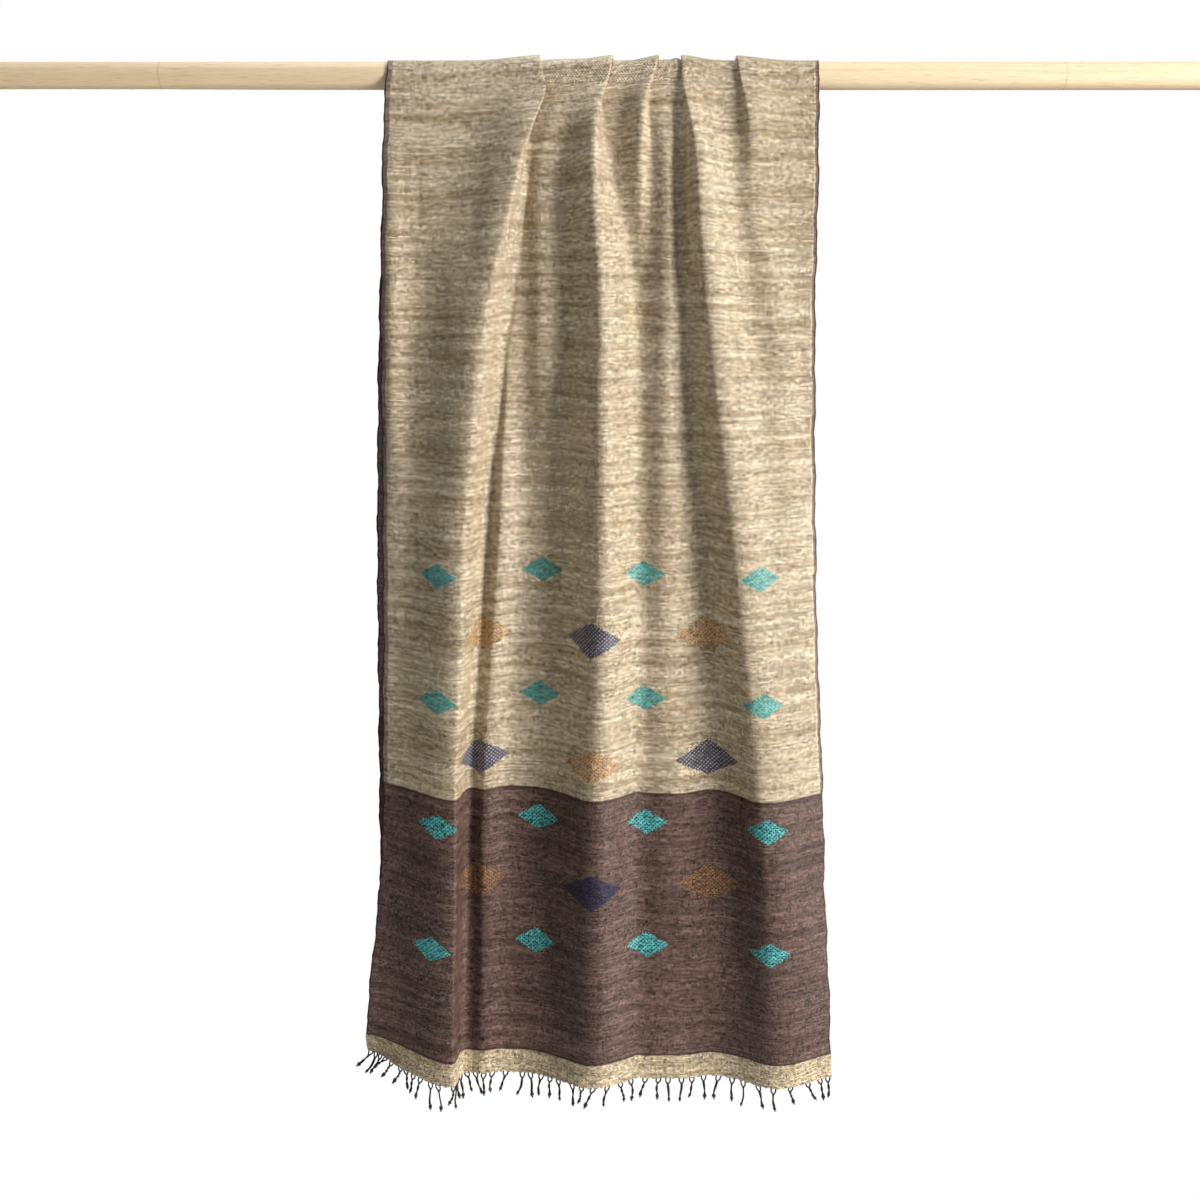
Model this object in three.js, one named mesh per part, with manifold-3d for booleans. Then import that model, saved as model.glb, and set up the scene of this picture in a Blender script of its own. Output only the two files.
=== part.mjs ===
/**
 * Silk scarf hung over a round wooden rod.
 *
 * Frame: millimetres, +Z up, +X along the rod, -Y towards the front panel.
 * The origin is on the rod's axis, at the middle of its length.
 *
 * The cloth is measured by two lengths: `u` across the warp, from the left
 * selvedge, and `v` along the warp, from the top of the rod. `v` is positive
 * down the front panel and negative down the back one.
 */
import * as THREE from "three";
import Module from "manifold-3d";

const ROD = { diameter: 25, length: 1200, chamfer: 1.5, sides: 32 };

const CLOTH = {
  width: 480,
  wall: 1,
  seam: 0.3,
  turnRadius: 13.45, // middle of the wall, round the rod
  samples: 640, // points of a section
  frontSettle: 11.3, // how far the folds sink back to straddle the panel
  backSettle: 4,
  settleOver: 250,
  sag: 0.28, // fall of a fold's crest for each millimetre it stands forward
  sagOver: 280,
  lyingOver: 58, // how far below the rod the pleats stop lying flat
  upright: 4, // lean from which a pleat lies fully flat
  steepest: 0.95, // least fall of a thread for each millimetre of its length
};

/** Lengths along the warp at which one stretch of cloth ends and the next starts. */
const ALONG = {
  frontFringe: 985.4,
  frontHem: 982,
  frontEnd: 961,
  frontBorder: 710,
  turn: 45,
  backBorder: -646,
  backEnd: -897,
  backHem: -918,
  backFringe: -921.4,
};

const QUARTER = (CLOTH.turnRadius * Math.PI) / 2;

/** The levels that the fold table's columns stand for: where, and the cloth's two edges there. */
const LEVELS = {
  at: [-921, -420, -115, -50, 0, 50, 115, 270, 480, 720, 979],
  left: [-214, -218, -213, -209, -205, -207, -210, -212, -211, -211, -229],
  right: [210, 206, 206, 206, 207, 206, 206, 203, 203, 209, 217.5],
};

/**
 * One row a fold, one column a level. Centre is across the panel; rise is how far the
 * crest stands out; left and right are its half widths; lean carries the crest sideways
 * until the fold lies over its neighbour.
 */
const FOLDS = [
  {
    name: "edge",
    centre: [-197.5, -197.5, -199.5, -203.5, -205, -203.5, -202, -201, -202, -207, -216.5],
    rise: [2, 3, 1.5, 0, 0, 0, 1.5, 3, 1.5, 0, 0],
    left: [9, 9, 9, 9, 9, 9, 9, 9, 9, 9, 9],
    right: [12, 12, 12, 12, 12, 12, 12, 12, 12, 12, 12],
    lean: [0, 0, 0, 0, 0, 0, 0, 0, 0, 0, 0],
  },
  {
    name: "roll",
    centre: [-123.5, -104.5, -90, -88, -84, -84, -97, -129, -141, -147, -148],
    rise: [24, 20, 10, 7, 4.9, 7, 10, 14, 18, 22, 24],
    left: [40, 36, 30, 24, 20, 24, 27, 31, 37, 43, 46],
    right: [8, 8, 8, 6.5, 7, 6.5, 15, 26, 23, 13, 9],
    lean: [0, 6, 10, 12, 12, 12, 9, 8, 7, 7, 7],
  },
  {
    name: "under",
    centre: [-76, -76, -45.5, -42, -40, -44, -57, -58, -56, -56, -56],
    rise: [3, 3, 2, 1.5, 1.5, 1.5, 4, 5.5, 0, 0, 0],
    left: [12, 12, 12, 12, 12, 12, 9, 9, 12, 12, 12],
    right: [14, 14, 14, 14, 14, 14, 18, 24, 20, 20, 20],
    lean: [0, 0, 0, 0, 0, 0, 0, 0, 0, 0, 0],
  },
  {
    name: "foot",
    centre: [-95, -95, -80, -70, -70, -70, -75, -88, -98, -112, -115],
    rise: [3, 2, 0, 0, 0, 0, 0, 1.5, 7, 7, 5],
    left: [8, 8, 8, 8, 8, 8, 8, 8, 8, 8, 8],
    right: [16, 16, 16, 16, 16, 16, 16, 16, 16, 16, 16],
    lean: [0, 0, 0, 0, 0, 0, 0, 0, 0, 0, 0],
  },
  {
    name: "middle",
    centre: [-4, 0, -8, -8, -8, -15, -12, -1, 0, -5, -7.5],
    rise: [28, 24, 12, 7, 4.7, 7, 12, 18, 22, 26, 28],
    left: [36, 34, 22, 16, 14, 16, 22, 28, 32, 38, 40],
    right: [40, 36, 14, 7.5, 7, 7.5, 12, 23, 28, 32, 34],
    lean: [0, 0, 2, 6, 9, 6, 2, 0, 0, 0, 0],
  },
  {
    name: "cowl",
    centre: [43, 43, 38, 41, 42, 33, 35, 34, 34, 34, 34],
    rise: [0, 0, 7, 7, 4.6, 7, 6, 0, 0, 0, 0],
    left: [10, 10, 13, 10, 9, 10, 13, 16, 16, 16, 16],
    right: [8, 8, 8, 6, 5.5, 6, 8, 12, 12, 12, 12],
    lean: [0, 0, 0, 3, 6, 3, 0, 0, 0, 0, 0],
  },
  {
    name: "second",
    centre: [52, 57, 60, 60, 61, 61, 60, 61, 58, 58, 56],
    rise: [7, 7, 5, 2, 0.8, 2, 5, 7.5, 8, 7.5, 6],
    left: [16, 16, 16, 16, 16, 16, 16, 20, 21, 22, 22],
    right: [9, 9, 8, 7, 6, 7, 10, 16, 25, 32, 36],
    lean: [0, 0, 0, 0, 0, 0, 0, 0, 0, 0, 0],
  },
  {
    name: "knob",
    centre: [74, 74, 76, 72, 70.5, 72, 76, 76, 76, 76, 76],
    rise: [0, 0, 0, 1.5, 2.6, 1.5, 0, 0, 0, 0, 0],
    left: [3.5, 3.5, 3.5, 3.5, 3.5, 3.5, 3.5, 3.5, 3.5, 3.5, 3.5],
    right: [3.5, 3.5, 3.5, 3.5, 3.5, 3.5, 3.5, 3.5, 3.5, 3.5, 3.5],
    lean: [0, 0, 0, 0, 0, 0, 0, 0, 0, 0, 0],
  },
  {
    name: "long",
    centre: [142.5, 123.5, 93, 90, 90, 86, 89, 102, 126, 151, 166],
    rise: [18, 16, 11, 7, 4.8, 7, 11, 13.5, 15.5, 17, 18],
    left: [26, 22, 9, 7, 6, 7, 10, 18, 25, 32, 40],
    right: [40, 36, 24, 16, 14, 16, 24, 34, 40, 46, 46],
    lean: [0, 0, 0, -3, -7, -3, 0, 0, 0, 0, 0],
  },
  {
    name: "far",
    centre: [180.5, 171, 142, 142, 144, 143, 142, 165, 183, 196, 200],
    rise: [3, 3, 4.5, 4.6, 4.5, 4.6, 2, 3, 3, 2, 0],
    left: [20, 18, 10, 7, 6, 7, 10, 18, 20, 24, 24],
    right: [20, 20, 20, 20, 20, 20, 20, 20, 20, 20, 20],
    lean: [0, 0, 0, -3, -8, -3, 0, 0, 0, 0, 0],
  },
  {
    name: "swell",
    centre: [152, 152, 152, 152, 152, 152, 152, 152, 152, 152, 161.5],
    rise: [8, 7, 2, 0.5, 0, 0.5, 2, 4, 6, 8, 9],
    left: [80, 80, 80, 80, 80, 80, 80, 80, 80, 80, 80],
    right: [90, 90, 90, 90, 90, 90, 90, 90, 90, 90, 90],
    lean: [0, 0, 0, 0, 0, 0, 0, 0, 0, 0, 0],
  },
];

/** Where the cloth's lower corners are drawn up, and the one that curls back. */
const LIFTS = [
  { name: "left", at: 0, height: 14, spread: 60 },
  { name: "right", at: CLOTH.width, height: 5, spread: 60 },
];
const CURL = { from: 925, over: 57, depth: 20, spread: 26 };

/** Fringe strands of the front hem: place along it, swing of the tip to the right, and fall. */
const STRANDS = [
  { at: 3.4, swing: -15.5, drop: 14 },
  { at: 8.6, swing: -11, drop: 19.9 },
  { at: 14.2, swing: -10, drop: 16.4 },
  { at: 20.6, swing: -13, drop: 8.5 },
  { at: 27.3, swing: -9.5, drop: 12.5 },
  { at: 36.8, swing: -6.4, drop: 12 },
  { at: 42.4, swing: 1.3, drop: 16.3 },
  { at: 50.9, swing: -3.5, drop: 16.3 },
  { at: 58.9, swing: -4.2, drop: 17.2 },
  { at: 69.5, swing: -0.6, drop: 24.7 },
  { at: 76.7, swing: 3, drop: 23.8 },
  { at: 91, swing: -4, drop: 14.9 },
  { at: 97, swing: -1, drop: 23.8 },
  { at: 103, swing: 0.9, drop: 16.8 },
  { at: 109, swing: 3.5, drop: 20.2 },
  { at: 116.3, swing: 5, drop: 17.2 },
  { at: 124.9, swing: 6.3, drop: 19.6 },
  { at: 133.9, swing: 1.2, drop: 19.3 },
  { at: 142.3, swing: -2, drop: 17.8 },
  { at: 154.8, swing: -6.6, drop: 17.8 },
  { at: 170.6, swing: -5.4, drop: 20.8 },
  { at: 178.5, swing: 2, drop: 22.3 },
  { at: 189.4, swing: -3.2, drop: 19.3 },
  { at: 198.8, swing: 0, drop: 17.2 },
  { at: 207.5, swing: 1.8, drop: 18.7 },
  { at: 222.4, swing: 0.3, drop: 19.9 },
  { at: 232.5, swing: -2.9, drop: 12.9 },
  { at: 244.1, swing: -7.9, drop: 16.3 },
  { at: 257.8, swing: -4.5, drop: 18.4 },
  { at: 271.3, swing: 3.9, drop: 15.7 },
  { at: 282.7, swing: 1.4, drop: 18.3 },
  { at: 297.5, swing: -5.9, drop: 16.3 },
  { at: 310.4, swing: -1.5, drop: 17.8 },
  { at: 319.4, swing: 1.8, drop: 21.7 },
  { at: 332, swing: -2.4, drop: 21.7 },
  { at: 342, swing: -3.5, drop: 17.8 },
  { at: 353.5, swing: 1.8, drop: 20.8 },
  { at: 367.8, swing: -5.2, drop: 20.8 },
  { at: 380.6, swing: -0.9, drop: 20.2 },
  { at: 391.3, swing: -2, drop: 23.8 },
  { at: 406.4, swing: 4.8, drop: 20.2 },
  { at: 421, swing: 0.9, drop: 19.9 },
  { at: 437.5, swing: 3.9, drop: 13.5 },
  { at: 455, swing: 8.5, drop: 14.8 },
  { at: 467.7, swing: 2.9, drop: 17.2 },
  { at: 476, swing: 0.9, drop: 17.8 },
];

/** Rings of a strand, from its root in the backing to the end of its tuft. */
const STRAND_RINGS = [
  { name: "root", along: 0, radius: 0.42 },
  { name: "middle", along: 0.42, radius: 0.9 },
  { name: "knot", along: 0.86, radius: 1.5 },
  { name: "tuft", along: 1, radius: 1.1 },
];
const STRAND = { sides: 3, bow: 1.3, root: 1.7 };

/** Columns across each stretch, and the share of them that its folds' turns take. */
const COLUMNS = 56;
const TURN_SHARE = 0.66;

/** Lengths along the warp of the rows of each stretch. */
const ARC_STEPS = 8;
const ROWS = {
  turn: [
    -ALONG.turn,
    -37,
    -29,
    ...Array.from(
      { length: ARC_STEPS + 1 },
      (_, i) => QUARTER * ((2 * i) / ARC_STEPS - 1),
    ),
    29,
    37,
    ALONG.turn,
  ],
  frontField: [
    ALONG.turn, 52, 60, 70, 82, 96, 113, 134, 160, 192, 232, 282, 342, 412, 484,
    558, 634, ALONG.frontBorder,
  ],
  frontBorder: [ALONG.frontBorder, 775, 840, 900, 934, ALONG.frontEnd],
  frontEnd: [ALONG.frontEnd, ALONG.frontHem],
  frontFringe: [ALONG.frontHem, ALONG.frontFringe],
  backField: [
    -ALONG.turn, -57, -74, -98, -135, -190, -275, -390, -515, ALONG.backBorder,
  ],
  backBorder: [ALONG.backBorder, -730, -815, ALONG.backEnd],
  backEnd: [ALONG.backEnd, ALONG.backHem],
  backFringe: [ALONG.backHem, ALONG.backFringe],
};

const COLOURS = {
  rod: 0xe8cda4,
  field: 0xbfae92,
  border: 0x6b5347,
  end: 0xc4b395,
  fringe: 0x2f211c,
};

/** Smooth 0 to 1 step. */
const smooth = (x) => {
  const t = Math.min(Math.max(x, 0), 1);
  return t * t * (3 - 2 * t);
};

/** A curve through the levels' values that never overshoots them. */
class LevelCurve {
  constructor(values) {
    this.values = values;
    const at = LEVELS.at;
    const slopes = at.slice(1).map((a, i) => (values[i + 1] - values[i]) / (a - at[i]));
    this.tangents = at.map((_, i) => {
      if (i === 0) return slopes[0];
      if (i === at.length - 1) return slopes[i - 1];
      const [p, q] = [slopes[i - 1], slopes[i]];
      return p * q <= 0 ? 0 : 2 / (1 / p + 1 / q);
    });
  }

  at(v) {
    const at = LEVELS.at;
    let i = 0;
    while (i < at.length - 2 && v > at[i + 1]) i += 1;
    const step = at[i + 1] - at[i];
    const t = (v - at[i]) / step;
    return (
      this.values[i] * (1 + 2 * t) * (1 - t) ** 2 +
      this.tangents[i] * step * t * (1 - t) ** 2 +
      this.values[i + 1] * t * t * (3 - 2 * t) +
      this.tangents[i + 1] * step * t * t * (t - 1)
    );
  }
}

const EDGES = { left: new LevelCurve(LEVELS.left), right: new LevelCurve(LEVELS.right) };
const FOLD_CURVES = FOLDS.map((fold) => ({
  centre: new LevelCurve(fold.centre),
  rise: new LevelCurve(fold.rise),
  left: new LevelCurve(fold.left),
  right: new LevelCurve(fold.right),
  lean: new LevelCurve(fold.lean),
}));

/** Where a lying pleat drops to its middle layer and then to the rod, in half widths past its crest. */
const LAP = { tip: { from: 0, over: 0.5 }, turn: { from: 1.1, over: 0.75 } };
const half = (t, { from, over }) => 0.5 * smooth((t - from) / over);

/** The cloth's line across the warp at one length along it, as x and height over u. */
class Section {
  constructor(v) {
    const n = CLOTH.samples;
    const left = EDGES.left.at(v);
    const right = EDGES.right.at(v);
    this.flat = Array.from({ length: n + 1 }, (_, i) => left + ((right - left) * i) / n);
    const lying = Math.exp(-((v / CLOTH.lyingOver) ** 4)); // 1 on the rod, where pleats lie flat
    this.bells = FOLD_CURVES.map((curve) => this.bell(curve, v, lying));
    this.lying = lying;
    let [low, high] = [0, 4];
    for (let k = 0; k < 26; k += 1) {
      const scale = (low + high) / 2;
      if (this.shape(scale).length < CLOTH.width) low = scale;
      else high = scale;
    }
    const { x, h, along, length } = this.shape((low + high) / 2);
    this.x = resample(x, along, length, n);
    this.h = resample(h, along, length, n);
  }

  /** A fold's sideways and outward bells over the flat line. */
  bell(curve, v, lying) {
    const centre = curve.centre.at(v);
    const rise = curve.rise.at(v);
    const lean = curve.lean.at(v);
    const [wl, wr] = [curve.left.at(v), curve.right.at(v)];
    const hold = lying * Math.min(1, Math.abs(lean) / CLOTH.upright);
    const side = [];
    const out = [];
    for (const x of this.flat) {
      const t = (x - centre) / (x < centre ? wl : wr);
      const bell = Math.exp(-t * t);
      side.push(lean * bell);
      const under = t * Math.sign(lean);
      const steps = 1 - half(under, LAP.tip) - half(under, LAP.turn);
      out.push(rise * (under > 0 && Math.abs(lean) > 0.5 ? bell + (steps - bell) * hold : bell));
    }
    return { side, out };
  }

  /** The line with its folds at one scale, softened, and its length. */
  shape(scale) {
    const rise = scale ** (1 - this.lying);
    let x = this.flat.slice();
    let h = this.flat.map(() => 0);
    for (const { side, out } of this.bells)
      for (let i = 0; i < x.length; i += 1) {
        x[i] += scale * side[i];
        h[i] += rise * out[i];
      }
    const raw = lengths(x, h);
    const n = CLOTH.samples;
    x = soften(resample(x, raw.along, raw.length, n));
    h = soften(resample(h, raw.along, raw.length, n));
    return { x, h, ...lengths(x, h) };
  }

  /** x and height at a place across the warp. */
  point(u) {
    const f = Math.min(Math.max((u / CLOTH.width) * CLOTH.samples, 0), CLOTH.samples - 1e-9);
    const i = Math.floor(f);
    const t = f - i;
    return {
      x: this.x[i] + (this.x[i + 1] - this.x[i]) * t,
      h: this.h[i] + (this.h[i + 1] - this.h[i]) * t,
    };
  }

  /** Places across the warp that share out its length and its turning. */
  columns(count) {
    const n = CLOTH.samples;
    const share = [0];
    const pitch = CLOTH.width / n;
    let previous = Math.atan2(this.h[1] - this.h[0], this.x[1] - this.x[0]);
    let total = 0;
    const turns = [];
    for (let i = 0; i < n; i += 1) {
      const angle = Math.atan2(this.h[i + 1] - this.h[i], this.x[i + 1] - this.x[i]);
      let turn = Math.abs(angle - previous);
      if (turn > Math.PI) turn = 2 * Math.PI - turn;
      turns.push(turn);
      total += turn;
      previous = angle;
    }
    for (let i = 0; i < n; i += 1)
      share.push(share[i] + ((1 - TURN_SHARE) * pitch) / CLOTH.width + (TURN_SHARE * turns[i]) / total);
    return Array.from({ length: count + 1 }, (_, k) => {
      const target = (share[n] * k) / count;
      let i = 0;
      while (i < n - 1 && share[i + 1] < target) i += 1;
      return pitch * (i + Math.min(1, (target - share[i]) / (share[i + 1] - share[i])));
    });
  }
}

function lengths(x, h) {
  const along = [0];
  for (let i = 1; i < x.length; i += 1)
    along.push(along[i - 1] + Math.hypot(x[i] - x[i - 1], h[i] - h[i - 1]));
  return { along, length: along[along.length - 1] };
}

function resample(values, along, length, n) {
  const out = [];
  let i = 0;
  for (let k = 0; k <= n; k += 1) {
    const target = (length * k) / n;
    while (i < along.length - 2 && along[i + 1] < target) i += 1;
    const step = along[i + 1] - along[i];
    const t = step > 0 ? Math.min(Math.max((target - along[i]) / step, 0), 1) : 0;
    out.push(values[i] + (values[i + 1] - values[i]) * t);
  }
  return out;
}

const SOFTEN = 1.1; // mm
const KERNEL = (() => {
  const pitch = CLOTH.width / CLOTH.samples;
  const reach = Math.ceil((3 * SOFTEN) / pitch);
  const weights = [];
  for (let k = -reach; k <= reach; k += 1)
    weights.push(Math.exp(-0.5 * ((k * pitch) / SOFTEN) ** 2));
  const sum = weights.reduce((a, b) => a + b);
  return { reach, weights: weights.map((w) => w / sum) };
})();

function soften(values) {
  const { reach, weights } = KERNEL;
  const last = values.length - 1;
  const padded = [];
  for (let i = reach; i > 0; i -= 1) padded.push(2 * values[0] - values[i]);
  padded.push(...values);
  for (let i = 1; i <= reach; i += 1) padded.push(2 * values[last] - values[last - i]);
  const out = [];
  for (let i = 0; i <= last; i += 1) {
    let sum = 0;
    for (let k = 0; k < weights.length; k += 1) sum += weights[k] * padded[i + k];
    out.push(sum);
  }
  return out;
}

/** The whole cloth as a surface: a point in space for each place across and along the warp. */
class Cloth {
  constructor() {
    this.sections = new Map();
    this.fall = { front: this.hang(1), back: this.hang(-1) };
  }

  section(v) {
    const key = v.toFixed(3);
    if (!this.sections.has(key)) this.sections.set(key, new Section(v));
    return this.sections.get(key);
  }

  /** Distance of the middle surface in front of the rod's axis, or behind it. */
  outward(v, h) {
    const settle = v > 0 ? CLOTH.frontSettle : CLOTH.backSettle;
    const fade = smooth((Math.abs(v) - QUARTER) / CLOTH.settleOver);
    return CLOTH.turnRadius + h - settle * fade;
  }

  /** Heights of a hanging panel: each thread keeps its length as it goes in and out. */
  hang(side) {
    const step = 6;
    const columns = 160;
    const end = side > 0 ? ALONG.frontFringe : -ALONG.backFringe;
    const rows = [];
    let before = null;
    for (let i = 0; QUARTER + (i - 1) * step < end; i += 1) {
      const v = side * (QUARTER + i * step);
      const section = this.section(v);
      const row = [];
      for (let k = 0; k <= columns; k += 1) {
        const u = (CLOTH.width * k) / columns;
        const { x, h } = section.point(u);
        const y = this.outward(v, h) - this.curl(u, v);
        const old = before ? before[k] : { x, y, z: 0 };
        const run = before ? step : 0;
        const drop = Math.sqrt(
          Math.max(run ** 2 - (x - old.x) ** 2 - (y - old.y) ** 2, (CLOTH.steepest * run) ** 2),
        );
        row.push({ x, y, z: old.z - drop });
      }
      rows.push(row);
      before = row;
    }
    return { step, columns, rows };
  }

  height(u, v) {
    const { step, columns, rows } = v > 0 ? this.fall.front : this.fall.back;
    const i = Math.min(Math.max((Math.abs(v) - QUARTER) / step, 0), rows.length - 1.000001);
    const k = Math.min(Math.max((u / CLOTH.width) * columns, 0), columns - 0.000001);
    const [a, b] = [Math.floor(i), Math.floor(k)];
    const [s, t] = [i - a, k - b];
    const row = (r) => rows[r][b].z * (1 - t) + rows[r][b + 1].z * t;
    return row(a) * (1 - s) + row(a + 1) * s;
  }

  /** How far the front panel's lower left corner curls back. */
  curl(u, v) {
    const t = Math.min(Math.max((v - CURL.from) / CURL.over, 0), 1.1);
    return CURL.depth * t * t * Math.exp(-((u / CURL.spread) ** 2));
  }

  point(u, v) {
    const { x, h } = this.section(v).point(u);
    const out = this.outward(v, h);
    if (Math.abs(v) <= QUARTER) {
      const angle = v / CLOTH.turnRadius;
      return new THREE.Vector3(x, -out * Math.sin(angle), out * Math.cos(angle));
    }
    const settle = v > 0 ? CLOTH.frontSettle : CLOTH.backSettle;
    const fade = smooth((Math.abs(v) - QUARTER) / CLOTH.sagOver);
    const length = Math.abs(v) / ALONG.frontHem;
    let z = this.height(u, v) - CLOTH.sag * (h - settle) * fade;
    for (const lift of LIFTS)
      z += lift.height * Math.exp(-(((u - lift.at) / lift.spread) ** 2)) * length ** 2;
    return new THREE.Vector3(x, v > 0 ? this.curl(u, v) - out : out, z);
  }

  normal(u, v) {
    const [du, dv] = [0.5, 0.75];
    const across = this.point(Math.min(u + du, CLOTH.width), v).sub(this.point(Math.max(u - du, 0), v));
    const along = this.point(u, v + dv).sub(this.point(u, v - dv));
    return along.cross(across).normalize();
  }
}

/** A closed wall through a grid of middle points and normals. */
function wall(points, normals) {
  const rows = points.length;
  const columns = points[0].length;
  const positions = [];
  for (const side of [0.5, -0.5])
    for (let r = 0; r < rows; r += 1)
      for (let c = 0; c < columns; c += 1)
        positions.push(
          ...points[r][c].clone().addScaledVector(normals[r][c], side * CLOTH.wall).toArray(),
        );
  const outer = (r, c) => r * columns + c;
  const inner = (r, c) => rows * columns + r * columns + c;
  const index = [];
  const quad = (a, b, c, d) => index.push(a, b, c, a, c, d);
  const face = (corner, flipped, [a, b, c]) =>
    index.push(...(flipped ? [corner(a), corner(c), corner(b)] : [corner(a), corner(b), corner(c)]));
  for (let r = 0; r < rows - 1; r += 1)
    for (let c = 0; c < columns - 1; c += 1) {
      const corners = [[r, c], [r + 1, c], [r + 1, c + 1], [r, c + 1]];
      const [p0, p1, p2, p3] = corners.map(([i, j]) => points[i][j]);
      const halves = p0.distanceTo(p2) < p1.distanceTo(p3) ? [[0, 1, 2], [0, 2, 3]] : [[0, 1, 3], [1, 2, 3]];
      for (const half of halves) {
        face((k) => outer(...corners[k]), false, half);
        face((k) => inner(...corners[k]), true, half);
      }
    }
  const rim = [];
  for (let c = 0; c < columns; c += 1) rim.push([0, c]);
  for (let r = 1; r < rows; r += 1) rim.push([r, columns - 1]);
  for (let c = columns - 2; c >= 0; c -= 1) rim.push([rows - 1, c]);
  for (let r = rows - 2; r > 0; r -= 1) rim.push([r, 0]);
  rim.forEach(([r, c], i) => {
    const [s, d] = rim[(i + 1) % rim.length];
    quad(outer(r, c), outer(s, d), inner(s, d), inner(r, c));
  });
  return { positions, index };
}

/** Turns a wall round if its faces point inwards. */
function outwardFacing({ positions, index }) {
  let volume = 0;
  const [a, b, c] = [new THREE.Vector3(), new THREE.Vector3(), new THREE.Vector3()];
  for (let i = 0; i < index.length; i += 3) {
    a.fromArray(positions, 3 * index[i]);
    b.fromArray(positions, 3 * index[i + 1]);
    c.fromArray(positions, 3 * index[i + 2]);
    volume += a.dot(b.cross(c));
  }
  if (volume < 0)
    for (let i = 0; i < index.length; i += 3) [index[i + 1], index[i + 2]] = [index[i + 2], index[i + 1]];
  return { positions, index };
}

const wasm = await Module();
wasm.setup();

function solidOf({ positions, index }) {
  return new wasm.Manifold(
    new wasm.Mesh({
      numProp: 3,
      vertProperties: new Float32Array(positions),
      triVerts: new Uint32Array(index),
    }),
  );
}

function geometryOf({ positions, index }) {
  const geometry = new THREE.BufferGeometry();
  geometry.setAttribute("position", new THREE.Float32BufferAttribute(positions, 3));
  geometry.setIndex(index);
  geometry.computeVertexNormals();
  return geometry;
}

/** The rows of one stretch, its ends drawn in by half a seam where another stretch follows. */
function stretch(cloth, rows, seams = [true, true]) {
  const along = rows.slice();
  const sign = Math.sign(rows[rows.length - 1] - rows[0]);
  if (seams[0]) along[0] += (sign * CLOTH.seam) / 2;
  if (seams[1]) along[along.length - 1] -= (sign * CLOTH.seam) / 2;
  const points = [];
  const normals = [];
  along.forEach((v, r) => {
    const places = cloth.section(rows[r]).columns(COLUMNS);
    points.push(places.map((u) => cloth.point(u, v)));
    normals.push(places.map((u) => cloth.normal(u, v)));
  });
  return outwardFacing(wall(points, normals));
}

/** One twisted strand: a thin tube with a knot and a tuft. */
function strand(cloth, { at, swing, drop }, k, v) {
  const root = cloth.point(at, v);
  const sway = 0.8 * Math.sin(2.1 * k);
  const bow = STRAND.bow * Math.sin(1.3 * k + 0.6);
  const positions = [];
  for (const { along, radius } of STRAND_RINGS) {
    const centre = root.clone();
    centre.x += swing * along ** 1.4 + bow * Math.sin(Math.PI * along);
    centre.y += sway * along;
    centre.z -= drop * along + STRAND.root * along;
    for (let i = 0; i < STRAND.sides; i += 1) {
      const angle = (2 * Math.PI * i) / STRAND.sides + 0.7 * k;
      positions.push(
        centre.x + radius * Math.cos(angle),
        centre.y + radius * Math.sin(angle),
        centre.z,
      );
    }
  }
  const index = [];
  const n = STRAND.sides;
  for (let r = 0; r < STRAND_RINGS.length - 1; r += 1)
    for (let i = 0; i < n; i += 1) {
      const [a, b] = [r * n + i, r * n + ((i + 1) % n)];
      index.push(a, a + n, b, b, a + n, b + n);
    }
  const last = (STRAND_RINGS.length - 1) * n;
  index.push(0, 1, 2, last, last + 2, last + 1);
  return outwardFacing({ positions, index });
}

/** A narrow backing along a hem with the strands fused into it. */
function fringe(cloth, rows, strands) {
  const sign = Math.sign(rows[1]);
  const shifted = [rows[0] + sign * CLOTH.seam, rows[1]];
  const backing = solidOf(stretch(cloth, shifted, [false, false]));
  const v = rows[1] - sign * STRAND.root;
  const tubes = strands.map((row, k) => solidOf(strand(cloth, row, k, v)));
  const mesh = wasm.Manifold.union([backing, ...tubes]).getMesh();
  const positions = [];
  for (let i = 0; i < mesh.numVert; i += 1)
    positions.push(...mesh.vertProperties.subarray(i * mesh.numProp, i * mesh.numProp + 3));
  return { positions, index: Array.from(mesh.triVerts) };
}

/** The rod, along x, with a small chamfer at each end. */
function rod() {
  const [half, radius, cut] = [ROD.length / 2, ROD.diameter / 2, ROD.chamfer];
  const profile = [
    [0, -half],
    [radius - cut, -half],
    [radius, -half + cut],
    [radius, half - cut],
    [radius - cut, half],
    [0, half],
  ].map(([r, y]) => new THREE.Vector2(r, y));
  return new THREE.LatheGeometry(profile, ROD.sides).rotateZ(-Math.PI / 2);
}

const cloth = new Cloth();
const group = new THREE.Group();
group.name = "silk_scarf";

function add(name, geometry, color) {
  const material = new THREE.MeshStandardMaterial({ color, roughness: 0.75, side: THREE.DoubleSide });
  const mesh = new THREE.Mesh(geometry, material);
  mesh.name = name;
  group.add(mesh);
}

/** The hidden hem's strands: the same kinds, met from the other end of the table. */
const BACK_STRANDS = STRANDS.map(({ at, swing, drop }, i) => {
  const other = STRANDS[(i * 7 + 3) % STRANDS.length];
  return { at, swing: 0.5 * other.swing, drop: Math.max(14, other.drop) };
});

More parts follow.
